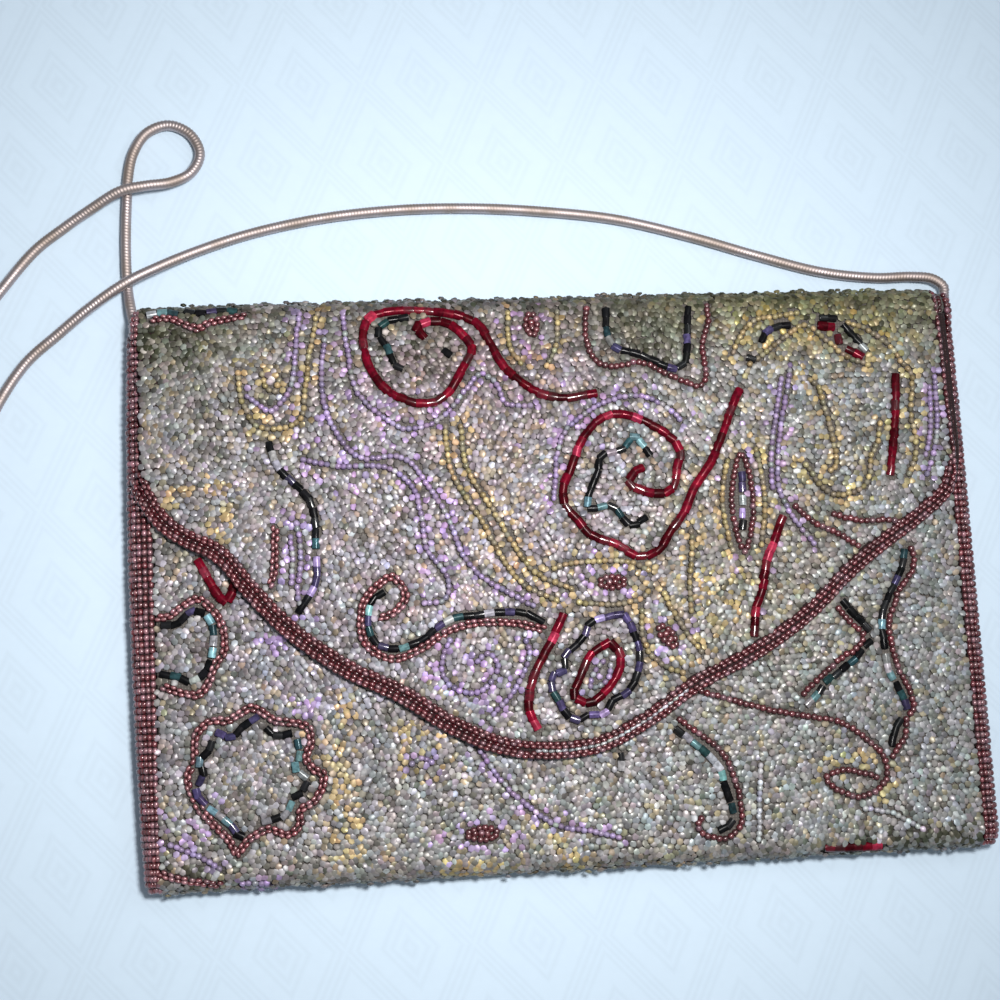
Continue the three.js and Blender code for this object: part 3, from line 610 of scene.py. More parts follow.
def tube_mesh(name, rings):
    """A closed tube through rings of points, each with the same number of sides."""
    count, sides = rings.shape[:2]
    place = np.arange(count * sides).reshape(count, sides)
    after = np.roll(place, -1, axis=1)
    skin = np.stack([place[:-1], place[1:], after[1:], after[:-1]], -1).reshape(-1, 4)
    corners = np.concatenate([skin.ravel(), place[0], place[-1][::-1]])
    starts = np.concatenate([np.arange(len(skin)) * 4, len(skin) * 4 + np.array([0, sides])])
    return joined_mesh(name, rings.reshape(-1, 3), corners, starts)


class BeadPattern:
    """One bead's shape: rings along its hole, closed at both ends, with its place in a bake cell.

    Glass lets light through, so a bead is shaded softer than its shape by the given ease, and rounded
    along its hole by the given bulge. Its first corner stands the given share of a side from the top.
    """

    def __init__(self, sides, rings, ease, bulge, first=0.5):
        self.ease = ease
        self.bulge = bulge
        turn = 2 * math.pi * (np.arange(sides) + first) / sides
        self.points = np.array([(t, r * math.cos(a), r * math.sin(a)) for t, r in rings for a in turn])
        # Share of the painted highlight at each corner: most on the top middle, facing up, none on the sides
        # and ends
        self.lit = np.clip(self.points[:, 1], 0, 1) ** 4 * (1 - self.points[:, 0] ** 2)
        faces = []
        self.uv = []
        bands = len(rings) - 1
        # In the bake cell the wall lies above the two ends
        for band in range(bands):
            for k in range(sides):
                after = (k + 1) % sides
                faces.append([band * sides + k, band * sides + after,
                              (band + 1) * sides + after, (band + 1) * sides + k])
                u0, u1 = 0.1 + 0.8 * k / sides, 0.1 + 0.8 * (k + 1) / sides
                v0, v1 = 0.3 + 0.6 * band / bands, 0.3 + 0.6 * (band + 1) / bands
                self.uv += [(u0, v0), (u1, v0), (u1, v1), (u0, v1)]
        last = bands * sides
        for centre, ring in ((0.3, range(sides - 1, -1, -1)), (0.7, range(last, last + sides))):
            faces.append(list(ring))
            self.uv += [(centre + 0.1 * math.cos(a), 0.17 + 0.1 * math.sin(a)) for a in turn]
        self.uv = np.array(self.uv)
        self.corners = np.array([corner for face in faces for corner in face])
        self.starts = np.cumsum([0] + [len(face) for face in faces[:-1]])


GROUND_PATTERN = BeadPattern(6, [(-1, 0.5), (0, 1.0), (1, 0.5)], ease=1.3, bulge=0.5)
BACK_PATTERN = BeadPattern(5, [(-1, 0.5), (0, 1.0), (1, 0.5)], ease=1.3, bulge=0.5)
SOFT_PATTERN = BeadPattern(6, [(-1, 0.5), (-0.4, 0.97), (0.4, 0.97), (1, 0.5)], ease=0.05, bulge=0.6)
SEED_PATTERN = BeadPattern(6, [(-1, 0.5), (-0.55, 0.95), (0, 1.0), (0.55, 0.95), (1, 0.5)],
                           ease=0.05, bulge=0.6, first=0.0)
TUBE_PATTERN = BeadPattern(8, [(-1, 0.94), (-0.9, 1.0), (0.9, 1.0), (1, 0.94)], ease=0.2, bulge=0.06)


class Beads:
    """A growing lot of beads: middle, hole direction, way up, radius, half length, colour and rise.

    The painted highlight is a lighter colour painted on the top middle of each bead, standing for the light
    that shines back from its lined hole.
    """

    def __init__(self):
        self.rows = []

    def add(self, middles, holes, ups, radius, half_length, tints, rise=1.0, gleam=0.0):
        count = len(middles)
        self.rows.append((
            middles, holes, ups,
            np.broadcast_to(radius, count), np.broadcast_to(half_length, count),
            np.broadcast_to(tints, (count, 4)), np.broadcast_to(rise, count),
            np.broadcast_to(gleam, (count, 3)),
        ))

    def arrays(self):
        return [np.concatenate(column) for column in zip(*self.rows)]

    def mesh(self, name, pattern):
        middles, holes, ups, radius, half_length, tints, rise, gleam = self.arrays()
        across = unit(np.cross(holes, ups))
        up = np.cross(across, holes)
        count, size = len(middles), len(pattern.points)
        t, c, s = pattern.points.T
        points = (middles[:, None] + holes[:, None] * (t * half_length[:, None])[..., None]
                  + up[:, None] * (c * (radius * rise)[:, None])[..., None]
                  + across[:, None] * (s * radius[:, None])[..., None])
        shading = (holes[:, None] * (pattern.bulge * t)[:, None] + across[:, None] * s[:, None]
                   + up[:, None] * (c / rise[:, None] + pattern.ease)[..., None])
        tints = np.repeat(tints[:, None], size, axis=1)
        # Painted highlight: a lighter colour added on the top middle of each bead
        tints[..., :3] += pattern.lit[:, None] * gleam[:, None]
        order = np.arange(count)
        corners = pattern.corners + size * order[:, None]
        starts = pattern.starts + len(pattern.corners) * order[:, None]
        grid = math.ceil(math.sqrt(count))
        cell = np.stack([order % grid, order // grid], -1)
        flat_map = (pattern.uv + cell[:, None]) / grid
        return joined_mesh(name, points.reshape(-1, 3), corners.ravel(), starts.ravel(),
                           flat_map, tints.reshape(-1, 4), unit(shading).reshape(-1, 3))


# Finishes


class Value:
    """A shader socket used in Python expressions: each sign adds a Math node."""

    def __init__(self, finish, socket):
        self.finish = finish
        self.socket = socket

    def math(self, operation, first, second):
        return self.finish.node("ShaderNodeMath", {"operation": operation}, {0: first, 1: second})

    def __add__(self, other):
        return self.math("ADD", self, other)

    def __radd__(self, other):
        return self.math("ADD", other, self)

    def __sub__(self, other):
        return self.math("SUBTRACT", self, other)

    def __rsub__(self, other):
        return self.math("SUBTRACT", other, self)

    def __mul__(self, other):
        return self.math("MULTIPLY", self, other)

    def __rmul__(self, other):
        return self.math("MULTIPLY", other, self)


class Finish:
    """A material and the nodes behind its surface."""

    def __init__(self, name):
        self.material = bpy.data.materials.new(name)
        self.material.use_nodes = True
        self.tree = self.material.node_tree
        self.surface = next(n for n in self.tree.nodes if n.type == "BSDF_PRINCIPLED")

    def node(self, kind, settings=None, inputs=None, out=0):
        """Adds a node, sets it up, feeds its sockets and gives one of its outputs."""
        node = self.tree.nodes.new(kind)
        for name, value in (settings or {}).items():
            if name == "stops":
                self.set_stops(node.color_ramp, value)
            else:
                setattr(node, name, value)
        for key, value in (inputs or {}).items():
            self.feed(node.inputs[key], value)
        return Value(self, node.outputs[out])

    @staticmethod
    def set_stops(ramp, stops):
        while len(ramp.elements) < len(stops):
            ramp.elements.new(1.0)
        for element, (place, colour) in zip(ramp.elements, stops):
            element.position = place
            element.color = (*colour, 1.0)

    def feed(self, socket, value):
        if isinstance(value, Value):
            self.tree.links.new(value.socket, socket)
        else:
            socket.default_value = value

    def set(self, **sockets):
        """Feeds the surface: Base_Color for Base Color, and so on."""
        for name, value in sockets.items():
            self.feed(self.surface.inputs[name.replace("_", " ")], value)
        return self.material

    def places(self):
        return self.node("ShaderNodeTexCoord", out="Object")

    def noise(self, scale, detail=2.0):
        return self.node("ShaderNodeTexNoise", {},
                         {"Vector": self.places(), "Scale": scale, "Detail": detail})

    def spread(self, value, low, high, to_low, to_high):
        """A value carried from one range to another, kept within it."""
        return self.node("ShaderNodeMapRange", {}, {
            "Value": value, "From Min": low, "From Max": high, "To Min": to_low, "To Max": to_high})

    def mix(self, share, first, second, blend="MIX"):
        return self.node("ShaderNodeMix", {"data_type": "RGBA", "blend_type": blend},
                         {0: share, 6: first, 7: second}, out=2)

    def bump(self, height, strength, distance):
        return self.node("ShaderNodeBump", {},
                         {"Height": height, "Strength": strength, "Distance": distance})


def opaque(colour):
    return (*colour[:3], 1.0)


def bead_finish(name, metallic, coat, mottle, rough, shine=0.5, glints=0.0):
    """Glass beads: each bead's own colour, mottled at random within the bead, partly as painted glints of its
    lining, and its own gloss.

    A given share of the beads has a bare glass skin that glints.
    """
    finish = Finish(name)
    colour = finish.node("ShaderNodeAttribute", {"attribute_name": "bead_colour"}, out="Color")
    gloss = finish.node("ShaderNodeAttribute", {"attribute_name": "bead_colour"}, out="Alpha")
    # Random mottle of the colour, which also stands partly for glints of the lining: painted glints
    lining = finish.spread(finish.noise(800.0), 0.32, 0.68, 1 - mottle, 1 + mottle)
    lit = finish.mix(1.0, colour, lining, "MULTIPLY")
    finish.set(Metallic=metallic, Coat_Weight=coat, Coat_Roughness=rough, Specular_IOR_Level=shine)
    if glints:
        finish.set(Coat_Weight=finish.spread(gloss, 0.95 - glints, 1.0 - glints, coat, 1.0))
    return finish.set(Base_Color=lit, Roughness=rough + 0.3 * gloss)


# How close the threads of the cloth lie
THREAD_SCALE = 420.0


def cloth_finish(name, thread, shade):
    """A plain weave that shows between the beads, with painted shade in the hollows between its threads."""
    finish = Finish(name)
    warp, weft = (
        finish.node("ShaderNodeTexWave", {"wave_type": "BANDS", "bands_direction": way},
                    {"Vector": finish.places(), "Scale": THREAD_SCALE}, out="Fac") for way in "XY")
    over = warp * weft
    worn = finish.noise(60.0)
    colour = finish.mix(over * 0.7 + worn * 0.3, opaque(shade), opaque(thread))
    finish.set(Sheen_Weight=0.05)
    return finish.set(Base_Color=colour, Roughness=0.9 - 0.2 * over,
                      Normal=finish.bump(over, 0.5, 0.0002))


def chain_finish(name, gold, tarnish):
    """Pale plating with a gold tarnish."""
    finish = Finish(name)
    cloud = finish.noise(120.0, 4.0)
    dull = finish.spread(cloud, 0.4, 0.65, 0.0, 0.8)
    finish.set(Metallic=1.0)
    return finish.set(Base_Color=finish.mix(dull, opaque(gold), opaque(tarnish)),
                      Roughness=0.36 + 0.4 * cloud)


def stud_finish(name):
    """Plain steel with a fine grain."""
    finish = Finish(name)
    grain = finish.noise(500.0)
    finish.set(Metallic=1.0)
    return finish.set(Base_Color=finish.mix(grain, (0.42, 0.42, 0.44, 1), (0.3, 0.3, 0.32, 1)),
                      Roughness=0.3 + 0.2 * grain)


# Lozenges of the tablecloth: how many to a metre, how their two sides lean, how deep the tone of the weave
# is, and the dark lines from a lozenge's edge to its middle
LOZENGES_PER_M = 31.0
FALLING_LEAN, RISING_LEAN = 0.93, 0.48
WEAVE_DEPTH = 0.045
LIGHT, DARK = (1.0, 1.0, 1.0), (0.0, 0.0, 0.0)
LOZENGE_LINES = [(0.0, LIGHT), (0.06, DARK), (0.12, LIGHT), (0.18, DARK), (0.24, LIGHT), (0.5, LIGHT),
                 (0.57, DARK), (0.64, LIGHT), (0.72, DARK), (0.8, LIGHT), (0.9, DARK), (1.0, LIGHT)]


def floor_finish(name, colour):
    """A pale tablecloth with nested lozenges woven into it, almost even."""
    finish = Finish(name)
    cloud = finish.noise(9.0, 3.0)
    grain = finish.noise(350.0, 3.0)
    x, y = (finish.node("ShaderNodeSeparateXYZ", {}, {0: finish.places()}, out=k) for k in (0, 1))
    falling = (x + FALLING_LEAN * y) * LOZENGES_PER_M + 0.5
    rising = (x - RISING_LEAN * y) * LOZENGES_PER_M + 0.5
    inside = x.math("MINIMUM", x.math("PINGPONG", falling, 0.5), x.math("PINGPONG", rising, 0.5))
    weave = finish.node("ShaderNodeValToRGB", {"stops": LOZENGE_LINES}, {0: inside + inside})
    tint = finish.mix(cloud * 0.4 + grain * 0.6, opaque(colour), opaque([c * 0.93 for c in colour]))
    return finish.set(Base_Color=finish.mix(WEAVE_DEPTH, tint, weave, "MULTIPLY"),
                      Roughness=0.85 + 0.1 * cloud)


# What a user may change


def colour_choice(name, description, default):
    return bpy.props.FloatVectorProperty(
        name=name, description=description, subtype="COLOR", size=3, min=0.0, max=1.0, default=default)


def length_choice(name, description, default):
    return bpy.props.FloatProperty(
        name=name, description=description, unit="LENGTH", precision=5, default=default * MM)


class ClutchColours(bpy.types.PropertyGroup):
    """Colours of the beads, the cloth, the chain and the table."""
    silver: colour_choice("Silver", "Most of the ground beads", (0.215, 0.207, 0.209))
    bright: colour_choice("Bright", "Ground beads that catch the light", (0.30, 0.30, 0.318))
    frost: colour_choice("Frost", "Whitest strings", (0.50, 0.50, 0.53))
    smoke: colour_choice("Smoke", "Dark ground beads", (0.125, 0.123, 0.108))
    champagne: colour_choice("Champagne", "Pale gold ground beads", (0.24, 0.205, 0.145))
    gold: colour_choice("Gold", "Gold ground beads", (0.36, 0.28, 0.145))
    olive: colour_choice("Olive", "Dark patches of the ground", (0.06, 0.06, 0.04))
    lilac: colour_choice("Lilac", "Lilac strings", (0.31, 0.235, 0.385))
    dark_red: colour_choice("Dark red", "Bindings and outlines", (0.065, 0.004, 0.008))
    mauve: colour_choice("Mauve", "Lighter beads of the side bindings", (0.13, 0.06, 0.075))
    # Colour of the painted highlight on the tops of the dark red beads
    gleam: colour_choice("Gleam", "Light in the middle of the dark red beads", (0.33, 0.155, 0.165))
    red: colour_choice("Red", "Red tube beads", (0.12, 0.002, 0.011))
    crimson: colour_choice("Crimson", "Deeper red tube beads", (0.05, 0.001, 0.004))
    # Painted glints: a lighter red for some tube beads, standing for where they catch the light
    painted_glint_rose: colour_choice("Rose", "Red tube beads that catch the light", (0.28, 0.02, 0.05))
    black: colour_choice("Black", "Dark tube beads", (0.006, 0.006, 0.007))
    # Painted glints: lighter green and violet tube beads, standing for where tubes catch the light
    painted_glint_aqua: colour_choice("Aqua", "Tubes that catch the light, green side", (0.12, 0.22, 0.25))
    painted_glint_orchid: colour_choice("Orchid", "Tubes that catch the light, violet side", (0.27, 0.20, 0.38))
    teal: colour_choice("Teal", "Green shine of the dark tubes", (0.02, 0.052, 0.06))
    violet: colour_choice("Violet", "Violet shine of the dark tubes", (0.05, 0.04, 0.10))
    # Thread and the dark of the weave are painted darker than the cloth's own colour, as shade in the gaps
    # between the beads and along the strings
    thread: colour_choice("Thread", "Light thread of the cloth", (0.17, 0.152, 0.135))
    shade: colour_choice("Shade", "Dark of the weave", (0.07, 0.06, 0.055))
    plating: colour_choice("Plating", "The chain's pale plating", (0.50, 0.43, 0.43))
    tarnish: colour_choice("Tarnish", "The chain where it is dull", (0.38, 0.31, 0.265))
    table: colour_choice("Table", "The pale table", (0.64, 0.77, 0.90))


class ClutchSizes(bpy.types.PropertyGroup):
    """Sizes of the beads, the cloth and the chain."""
    ground_pitch: length_choice("Ground pitch", "Spacing of the ground beads", 1.52)
    back_pitch: length_choice("Back pitch", "Spacing of the beads on the back", 2.4)
    bead_radius: length_choice("Bead radius", "Radius of a ground bead", 0.94)
    bead_half: length_choice("Bead half length", "Half a ground bead's length along its hole", 0.84)
    seed_pitch: length_choice("String pitch", "Spacing of beads on a string", 1.65)
    seed_radius: length_choice("String bead radius", "Radius of a bead on a string", 0.76)
    tube_pitch: length_choice("Tube pitch", "Spacing of tube beads", 2.6)
    tube_radius: length_choice("Tube radius", "Radius of a red tube bead", 1.2)
    slim_radius: length_choice("Slim tube radius", "Radius of a dark tube bead", 0.98)
    strand_gap: length_choice("Strand gap", "Spacing of the two strands of an outline", 1.05)
    row_pitch: length_choice("Row pitch", "Spacing of the rows in a side binding", 1.42)
    cloth_depth: length_choice("Cloth depth", "The cloth lies this far under the bead tops", 1.2)
    chain_radius: length_choice("Chain radius", "Outer radius of the snake chain", 1.4)
    rib_pitch: length_choice("Rib pitch", "Spacing of the chain's ribs", 0.85)


def chosen(name):
    """A colour that the user may change."""
    return np.array(getattr(bpy.context.scene.clutch_colours, name))


def size(name):
    """A size that the user may change, in millimetres."""
    return getattr(bpy.context.scene.clutch_sizes, name) / MM


# Laying beads


# How much depth differs from bead to bead in the ground and on a string, and how much hue does on both
GROUND_SPREAD, STRING_SPREAD, HUE_SPREAD = 0.09, 0.25, 0.04


def shaded(colours, spread, rng):
    """Colours with a bead-to-bead difference in depth, and each bead's gloss as alpha."""
    colours = np.atleast_2d(colours)
    depth = rng.normal(0, spread, (len(colours), 1)) + rng.normal(0, HUE_SPREAD, (len(colours), 3))
    return np.column_stack([np.clip(colours * np.exp(depth), 0, 1), rng.random(len(colours))])


def hex_places(low, high, pitch, jitter, rng):
    """A jittered triangular lattice over a rectangle."""
    rise = pitch * math.sqrt(0.75)
    rows = np.arange(low[1] + pitch / 2, high[1] - pitch / 4, rise)
    columns = np.arange(low[0] + pitch / 2, high[0] - pitch / 4, pitch)
    x = columns[None, :] + np.where(np.arange(len(rows)) % 2, pitch / 2, 0.0)[:, None]
    places = np.stack([x, np.broadcast_to(rows[:, None], x.shape)], -1).reshape(-1, 2)
    return places + rng.uniform(-jitter, jitter, places.shape) * pitch


def cloudy(x, y, shortest, longest, rng):
    """A smooth random tone between about -2 and 2, with waves of the given lengths."""
    waves = 16
    turn, start = rng.uniform(0, 2 * math.pi, (2, waves))
    rate = 2 * math.pi / rng.uniform(shortest, longest, waves)
    run = (x[:, None] * np.cos(turn) + y[:, None] * np.sin(turn)) * rate
    return np.sin(run + start).sum(axis=1) * math.sqrt(2 / waves)


def room_beside(points, lines):
    """How far points lie from the sides of the nearest strings, given as {radius: places}."""
    return np.min([nearest(points, np.vstack(places)) - radius for radius, places in lines.items()], axis=0)


# Ground beads stray this share of the pitch from their rows, and the rows wander in waves of these lengths
GROUND_STRAY = 0.24
ROW_WAVES = (25, 60)

# A gap this wide takes one more bead, and such beads keep this far apart, as shares of the pitch
GAP_FILLED, GAP_APART = 0.72, 0.76

# A ground bead's middle keeps this far from the side of a string, so that it tucks under the string
STRING_ROOM = 0.58


def ground_places(low, high, keep, surface, lines, rng):
    """Places for ground beads: wandering rows clear of the strings, then the gaps left along them."""
    pitch = size("ground_pitch")
    low, high = np.array(low), np.array(high)
    places = hex_places(low - 3 * pitch, high + 3 * pitch, pitch, GROUND_STRAY, rng)
    places = places + np.stack([cloudy(*places.T, *ROW_WAVES, rng) for _ in "xy"], -1)
    places = places[((places > low) & (places < high)).all(axis=1) & keep(places)]
    room = room_beside(surface(*places.T)[0], lines)
    places = places[room > STRING_ROOM * rng.uniform(0.6, 1.2, len(room))]
    spare = hex_places(low, high, pitch / 3, 0.1, rng)
    spare = spare[keep(spare)]
    spare = spare[room_beside(surface(*spare.T)[0], lines) > STRING_ROOM]
    points = surface(*spare.T)[0]
    room = nearest(points, surface(*places.T)[0])
    picked = []
    for k in np.argsort(-room)[:np.count_nonzero(room > GAP_FILLED * pitch)]:
        if not picked or np.linalg.norm(points[picked] - points[k], axis=1).min() > GAP_APART * pitch:
            picked.append(k)
    return np.vstack([places, spare[picked]])


GROUND_COLOURS = ("silver", "bright", "smoke", "champagne", "gold", "lilac", "olive")
GROUND_SHARES = (0.64, 0.14, 0.12, 0.10, 0.0, 0.0, 0.0)

# How far a charted drift of colour reaches to each side, and how strongly it takes over
DRIFT_LINES = {"gold": (2.2, 1.0), "lilac": (2.1, 0.7)}


# Clouds in the ground: lengths of broad and narrow ones, how deep their tones are, and how warm the broad
# ones are in red, green and blue
BROAD, NARROW = (5, 13), (3, 6)
BROAD_TONE, NARROW_TONE = 0.15, 0.08
WARMTH = 0.04
WARM_LEAN = np.array([1.0, 0.0, -0.3])


def soft_patch(x, y, mid_x, mid_y, reach_x, reach_y):
    """How much of a soft-edged patch there is at each place: 1 in its middle."""
    return np.exp(-((x - mid_x) / reach_x) ** 2 - ((y - mid_y) / reach_y) ** 2)


def ground_tints(points, chart, rng):
    """Silver ground with patches and lines of other bead colours."""
    x, y = points[:, 0], points[:, 1]
    shares = np.tile(GROUND_SHARES, (len(x), 1))
    if chart:
        for name, *patch, share in DRIFTS:
            shares[:, GROUND_COLOURS.index(name)] += share * soft_patch(x, y, *patch)
        for name, (reach, share) in DRIFT_LINES.items():
            lines = np.vstack([dense_curve(line) for kind, line in chart if kind.startswith(name)])
            near = np.exp(-(nearest(points[:, :2], lines) / reach) ** 2)
            shares[:, GROUND_COLOURS.index(name)] += share * near
    limits = np.cumsum(shares, axis=1)
    pick = (rng.random((len(x), 1)) * limits[:, -1:] > limits).sum(axis=1)
    palette = np.stack([chosen(name) for name in GROUND_COLOURS])
    tone = BROAD_TONE * cloudy(x, y, *BROAD, rng) + NARROW_TONE * cloudy(x, y, *NARROW, rng)
    tone = np.exp(tone)[:, None]
    for *patch, tint in ZONES if chart else ():
        tone = tone * np.array(tint) ** soft_patch(x, y, *patch)[:, None]
    warmth = WARMTH * (cloudy(x, y, *BROAD, rng) - x / PANEL_HALF)[:, None]
    return shaded(palette[pick] * tone * (1 + warmth * WARM_LEAN), GROUND_SPREAD, rng)


# Ground beads lie flattened in the sewing: their height against their breadth, how they tilt and turn, how
# their sizes differ and how far they may sink
GROUND_RISE = 0.5
GROUND_TILT = 0.165
GROUND_TURN = 0.6
GROUND_GROWTH, GROWTH_LIMITS = 0.07, (0.85, 1.15)
GROUND_SINK = 0.3

# On a fold, where the surface no longer faces up, they stand out by about the one height, at most the other
FOLD_TURN = 1.6
FOLD_STAND, FOLD_STAND_MOST = 0.45, 1.2


def swirl(x, y):
    """A smoothly turning direction for the ground beads' holes."""
    return (1.5 * np.sin(x / 23 + 0.7) + 1.3 * np.sin(y / 17 + x / 41) + 0.9 * np.sin((x + y) / 12))


def lay_ground(points, ways, chart, rng, growth=1.0):
    """Beads bedded flat under a surface, each with its own small turn, tilt, size and depth.

    On the folds, where the surface does not face up, the beads stand out more loosely.
    """
    count = len(points)
    angle = swirl(points[:, 0], points[:, 1]) + rng.normal(0, GROUND_TURN, count)
    across = unit(np.cross(ways, [0.05, 0.35, 1.0]) + [1e-6, 0, 0])
    along = np.cross(across, ways)
    holes = across * np.cos(angle)[:, None] + along * np.sin(angle)[:, None]
    tilt = rng.normal(0, GROUND_TILT, (2, count, 1))
    ups = unit(ways + np.cross(holes, ways) * tilt[0])
    holes = unit(holes + ways * tilt[1])
    growth = growth * rng.normal(1, GROUND_GROWTH, count).clip(*GROWTH_LIMITS)
    radius = size("bead_radius") * growth
    loose = np.clip(1.0 - np.abs(ways[:, 2]) * FOLD_TURN, 0, 1)
    sink = rng.uniform(0, GROUND_SINK, count)
    stand = loose * rng.exponential(FOLD_STAND, count).clip(0, FOLD_STAND_MOST)
    depth = radius * GROUND_RISE + sink - stand
    beads = Beads()
    beads.add(points - ways * depth[:, None], holes, ups, radius, size("bead_half") * growth,
              ground_tints(points, chart, rng), GROUND_RISE)
    return beads


STRING_COLOURS = {
    "dark_red": (("dark_red", 0.8), ("mauve", 0.2)),
    "dark_red_row": (("dark_red", 0.9), ("mauve", 0.1)),
    "band": (("dark_red", 0.85), ("mauve", 0.15)),
    "left_side": (("dark_red", 0.45), ("mauve", 0.55)),
    "right_side": (("dark_red", 0.7), ("mauve", 0.3)),
    # Plain dark crimson without painted highlight, for the rows in the gap of the flap's band: painted shade
    "satin": (("crimson", 1.0),),
    "lilac": (("lilac", 0.85), ("bright", 0.15)),
    "gold": (("gold", 0.6), ("champagne", 0.4)),
    "pale": (("frost", 0.75), ("bright", 0.25)),
    # Among the tubes, the lighter rose, aqua, orchid and bright beads stand for glints: painted glints
    "red_tube": (("red", 0.6), ("crimson", 0.34), ("painted_glint_rose", 0.06)),
    "dark_tube": (("black", 0.62), ("teal", 0.13), ("violet", 0.1), ("painted_glint_aqua", 0.08), ("bright", 0.07)),
    "teal_tube": (("black", 0.08), ("teal", 0.25), ("painted_glint_aqua", 0.43), ("bright", 0.24)),
    "violet_tube": (("black", 0.3), ("violet", 0.4), ("painted_glint_orchid", 0.3)),
    "iris_tube": (("black", 0.42), ("violet", 0.4), ("teal", 0.1), ("painted_glint_orchid", 0.08)),
    # Pale tubes standing for a white glint: painted glint
    "silver_tube": (("bright", 0.6), ("silver", 0.4)),
}


# How strongly the painted highlight on the top middle of a string's beads shows, and how that differs from
# bead to bead
PAINTED_HIGHLIGHT_RANGE = (0.5, 1.5)
STRING_PAINTED_HIGHLIGHT = {"dark_red": 1.0, "dark_red_row": 0.4, "band": 0.45, "left_side": 0.75, "right_side": 0.55}


def string_painted_highlight(kind, count, rng):
    """Painted highlight on the top middle of each bead of one string."""
    return chosen("gleam") * STRING_PAINTED_HIGHLIGHT.get(kind, 0.0) * rng.uniform(*PAINTED_HIGHLIGHT_RANGE, (count, 1))


def string_tints(kind, count, rng):
    """Colours for the beads of one string, mixed from its kind's palette."""
    names, shares = zip(*STRING_COLOURS[kind])
    palette = np.stack([chosen(name) for name in names])
    return shaded(palette[rng.choice(len(names), count, p=shares)], STRING_SPREAD, rng)


def almond(x, y, length, width, turn):
    """A closed pointed oval."""
    t = np.linspace(0, 2 * math.pi, 13)
    along, over = np.cos(t) * length / 2, np.sin(t) * np.abs(np.sin(t)) ** 0.6 * width / 2
    a = math.radians(turn)
    return np.stack([x + along * math.cos(a) - over * math.sin(a),
                     y + along * math.sin(a) + over * math.cos(a)], -1)


def charted_lines(chart, almonds):
    """Every charted line in the order of sewing: tubes, outlines, almonds and their cores, soft strings."""
    lines = [row for row in chart if row[0].endswith("tube")]
    lines += [row for row in chart if row[0].startswith("dark_red")]
    for x, y, length, width, turn in almonds:
        lines.append(("dark_red_row", almond(x, y, length, width, turn)))
        lines.append(("dark_red_row", almond(x, y, length * 0.45, width * 0.1, turn)))
    return lines + [row for row in chart if row[0] in ("lilac", "gold", "pale")]


# Pitch and radius of a single dark red row and of a soft string, against the chosen sizes of a string
ROW_PITCH, ROW_BREADTH = 0.92, 1.2
SOFT_PITCH, SOFT_BREADTH = 0.9, 1.05

# Half a bead's length against its pitch, where along that half its bed is felt, and how deep it is bedded
# against its radius
TUBE_SHARE, BEAD_SHARE = 0.52, 0.49
BED_REACH = 0.7
STRING_BED = 0.8

# How much tubes and seed beads stray and turn, and how their sizes differ
TUBE_STRAY, SEED_STRAY = 0.05, 0.08
STRING_GROWTH = 0.05

# How far the beads of two strings may lie in each other where their lines cross
CROSSING = 0.1


class Ornament:
    """Strings of seed beads and tubes laid along charted lines on one surface."""

    def __init__(self, surface, rng):
        self.surface = surface
        self.rng = rng
        self.seeds = Beads()
        self.soft = Beads()
        self.tubes = Beads()
        self.lines = {}

    def lay(self, kind, points):
        """One charted line, as tubes, a double outline or a single string."""
        curve = dense_curve(points)
        pitch, radius = size("seed_pitch"), size("seed_radius")
        if kind == "red_tube":
            self.strand(kind, curve, self.tubes, size("tube_pitch"), size("tube_radius"), 0.5)
        elif kind.endswith("tube"):
            self.strand(kind, curve, self.tubes, size("tube_pitch"), size("slim_radius"), 0.5)
        elif kind == "dark_red":
            for k, shift in enumerate((-0.5, 0.5)):
                strand = beside(curve, shift * size("strand_gap"))
                self.strand(kind, strand, self.seeds, pitch, size("strand_gap") * 0.6, 0.25 + 0.5 * k)
        elif kind == "dark_red_row":
            self.strand(kind, curve, self.seeds, pitch * ROW_PITCH, radius * ROW_BREADTH, 0.5)
        else:
            self.strand(kind, curve, self.soft, pitch * SOFT_PITCH, radius * SOFT_BREADTH, 0.5)

    def strand(self, kind, curve, beads, pitch, radius, start):
        """Beads along one curve, left out where an earlier string lies."""
        loose = TUBE_STRAY if beads is self.tubes else SEED_STRAY
        half = pitch * (TUBE_SHARE if kind == "red_tube" else BEAD_SHARE)
        places, ways = along_curve(curve, pitch, start)
        places = places + self.rng.normal(0, loose, places.shape)
        points, ups = self.surface(*places.T)
        reach = ways * half * BED_REACH
        ends = [self.surface(*(places + step).T)[0] for step in (reach, -reach)]
        if self.lines:
            free = room_beside(points, self.lines) > -CROSSING
            points, ups, ends = points[free], ups[free], [end[free] for end in ends]
        if len(points) == 0:
            return
        holes = ends[0] - ends[1]
        holes = unit(holes - ups * (holes * ups).sum(axis=1, keepdims=True))
        holes = unit(holes + self.rng.normal(0, loose, holes.shape))
        growth = self.rng.normal(1, STRING_GROWTH, len(points))
        beads.add(points - ups * radius * STRING_BED, holes, ups, radius * growth, half,
                  string_tints(kind, len(points), self.rng), gleam=string_painted_highlight(kind, len(points), self.rng))
        self.lines.setdefault(radius, []).extend([points, *ends])


# The pieces


# The cloth's colours are painted darker than its own, as shade in the gaps between the beads
def cloth_material():
    return cloth_finish("bead_cloth", chosen("thread"), chosen("shade"))


# The camera: lens and sensor in millimetres, place in metres, turn in degrees
EYE_LENS, EYE_SENSOR = 61.2, 36.0
EYE_PLACE_M = (-0.06247, -0.04463, 0.44038)
EYE_TURN = (8.811, -5.657, -2.942)

# The table, just under the bag
TABLE_REACH = 4000.0
TABLE_DROP_M = 0.0001

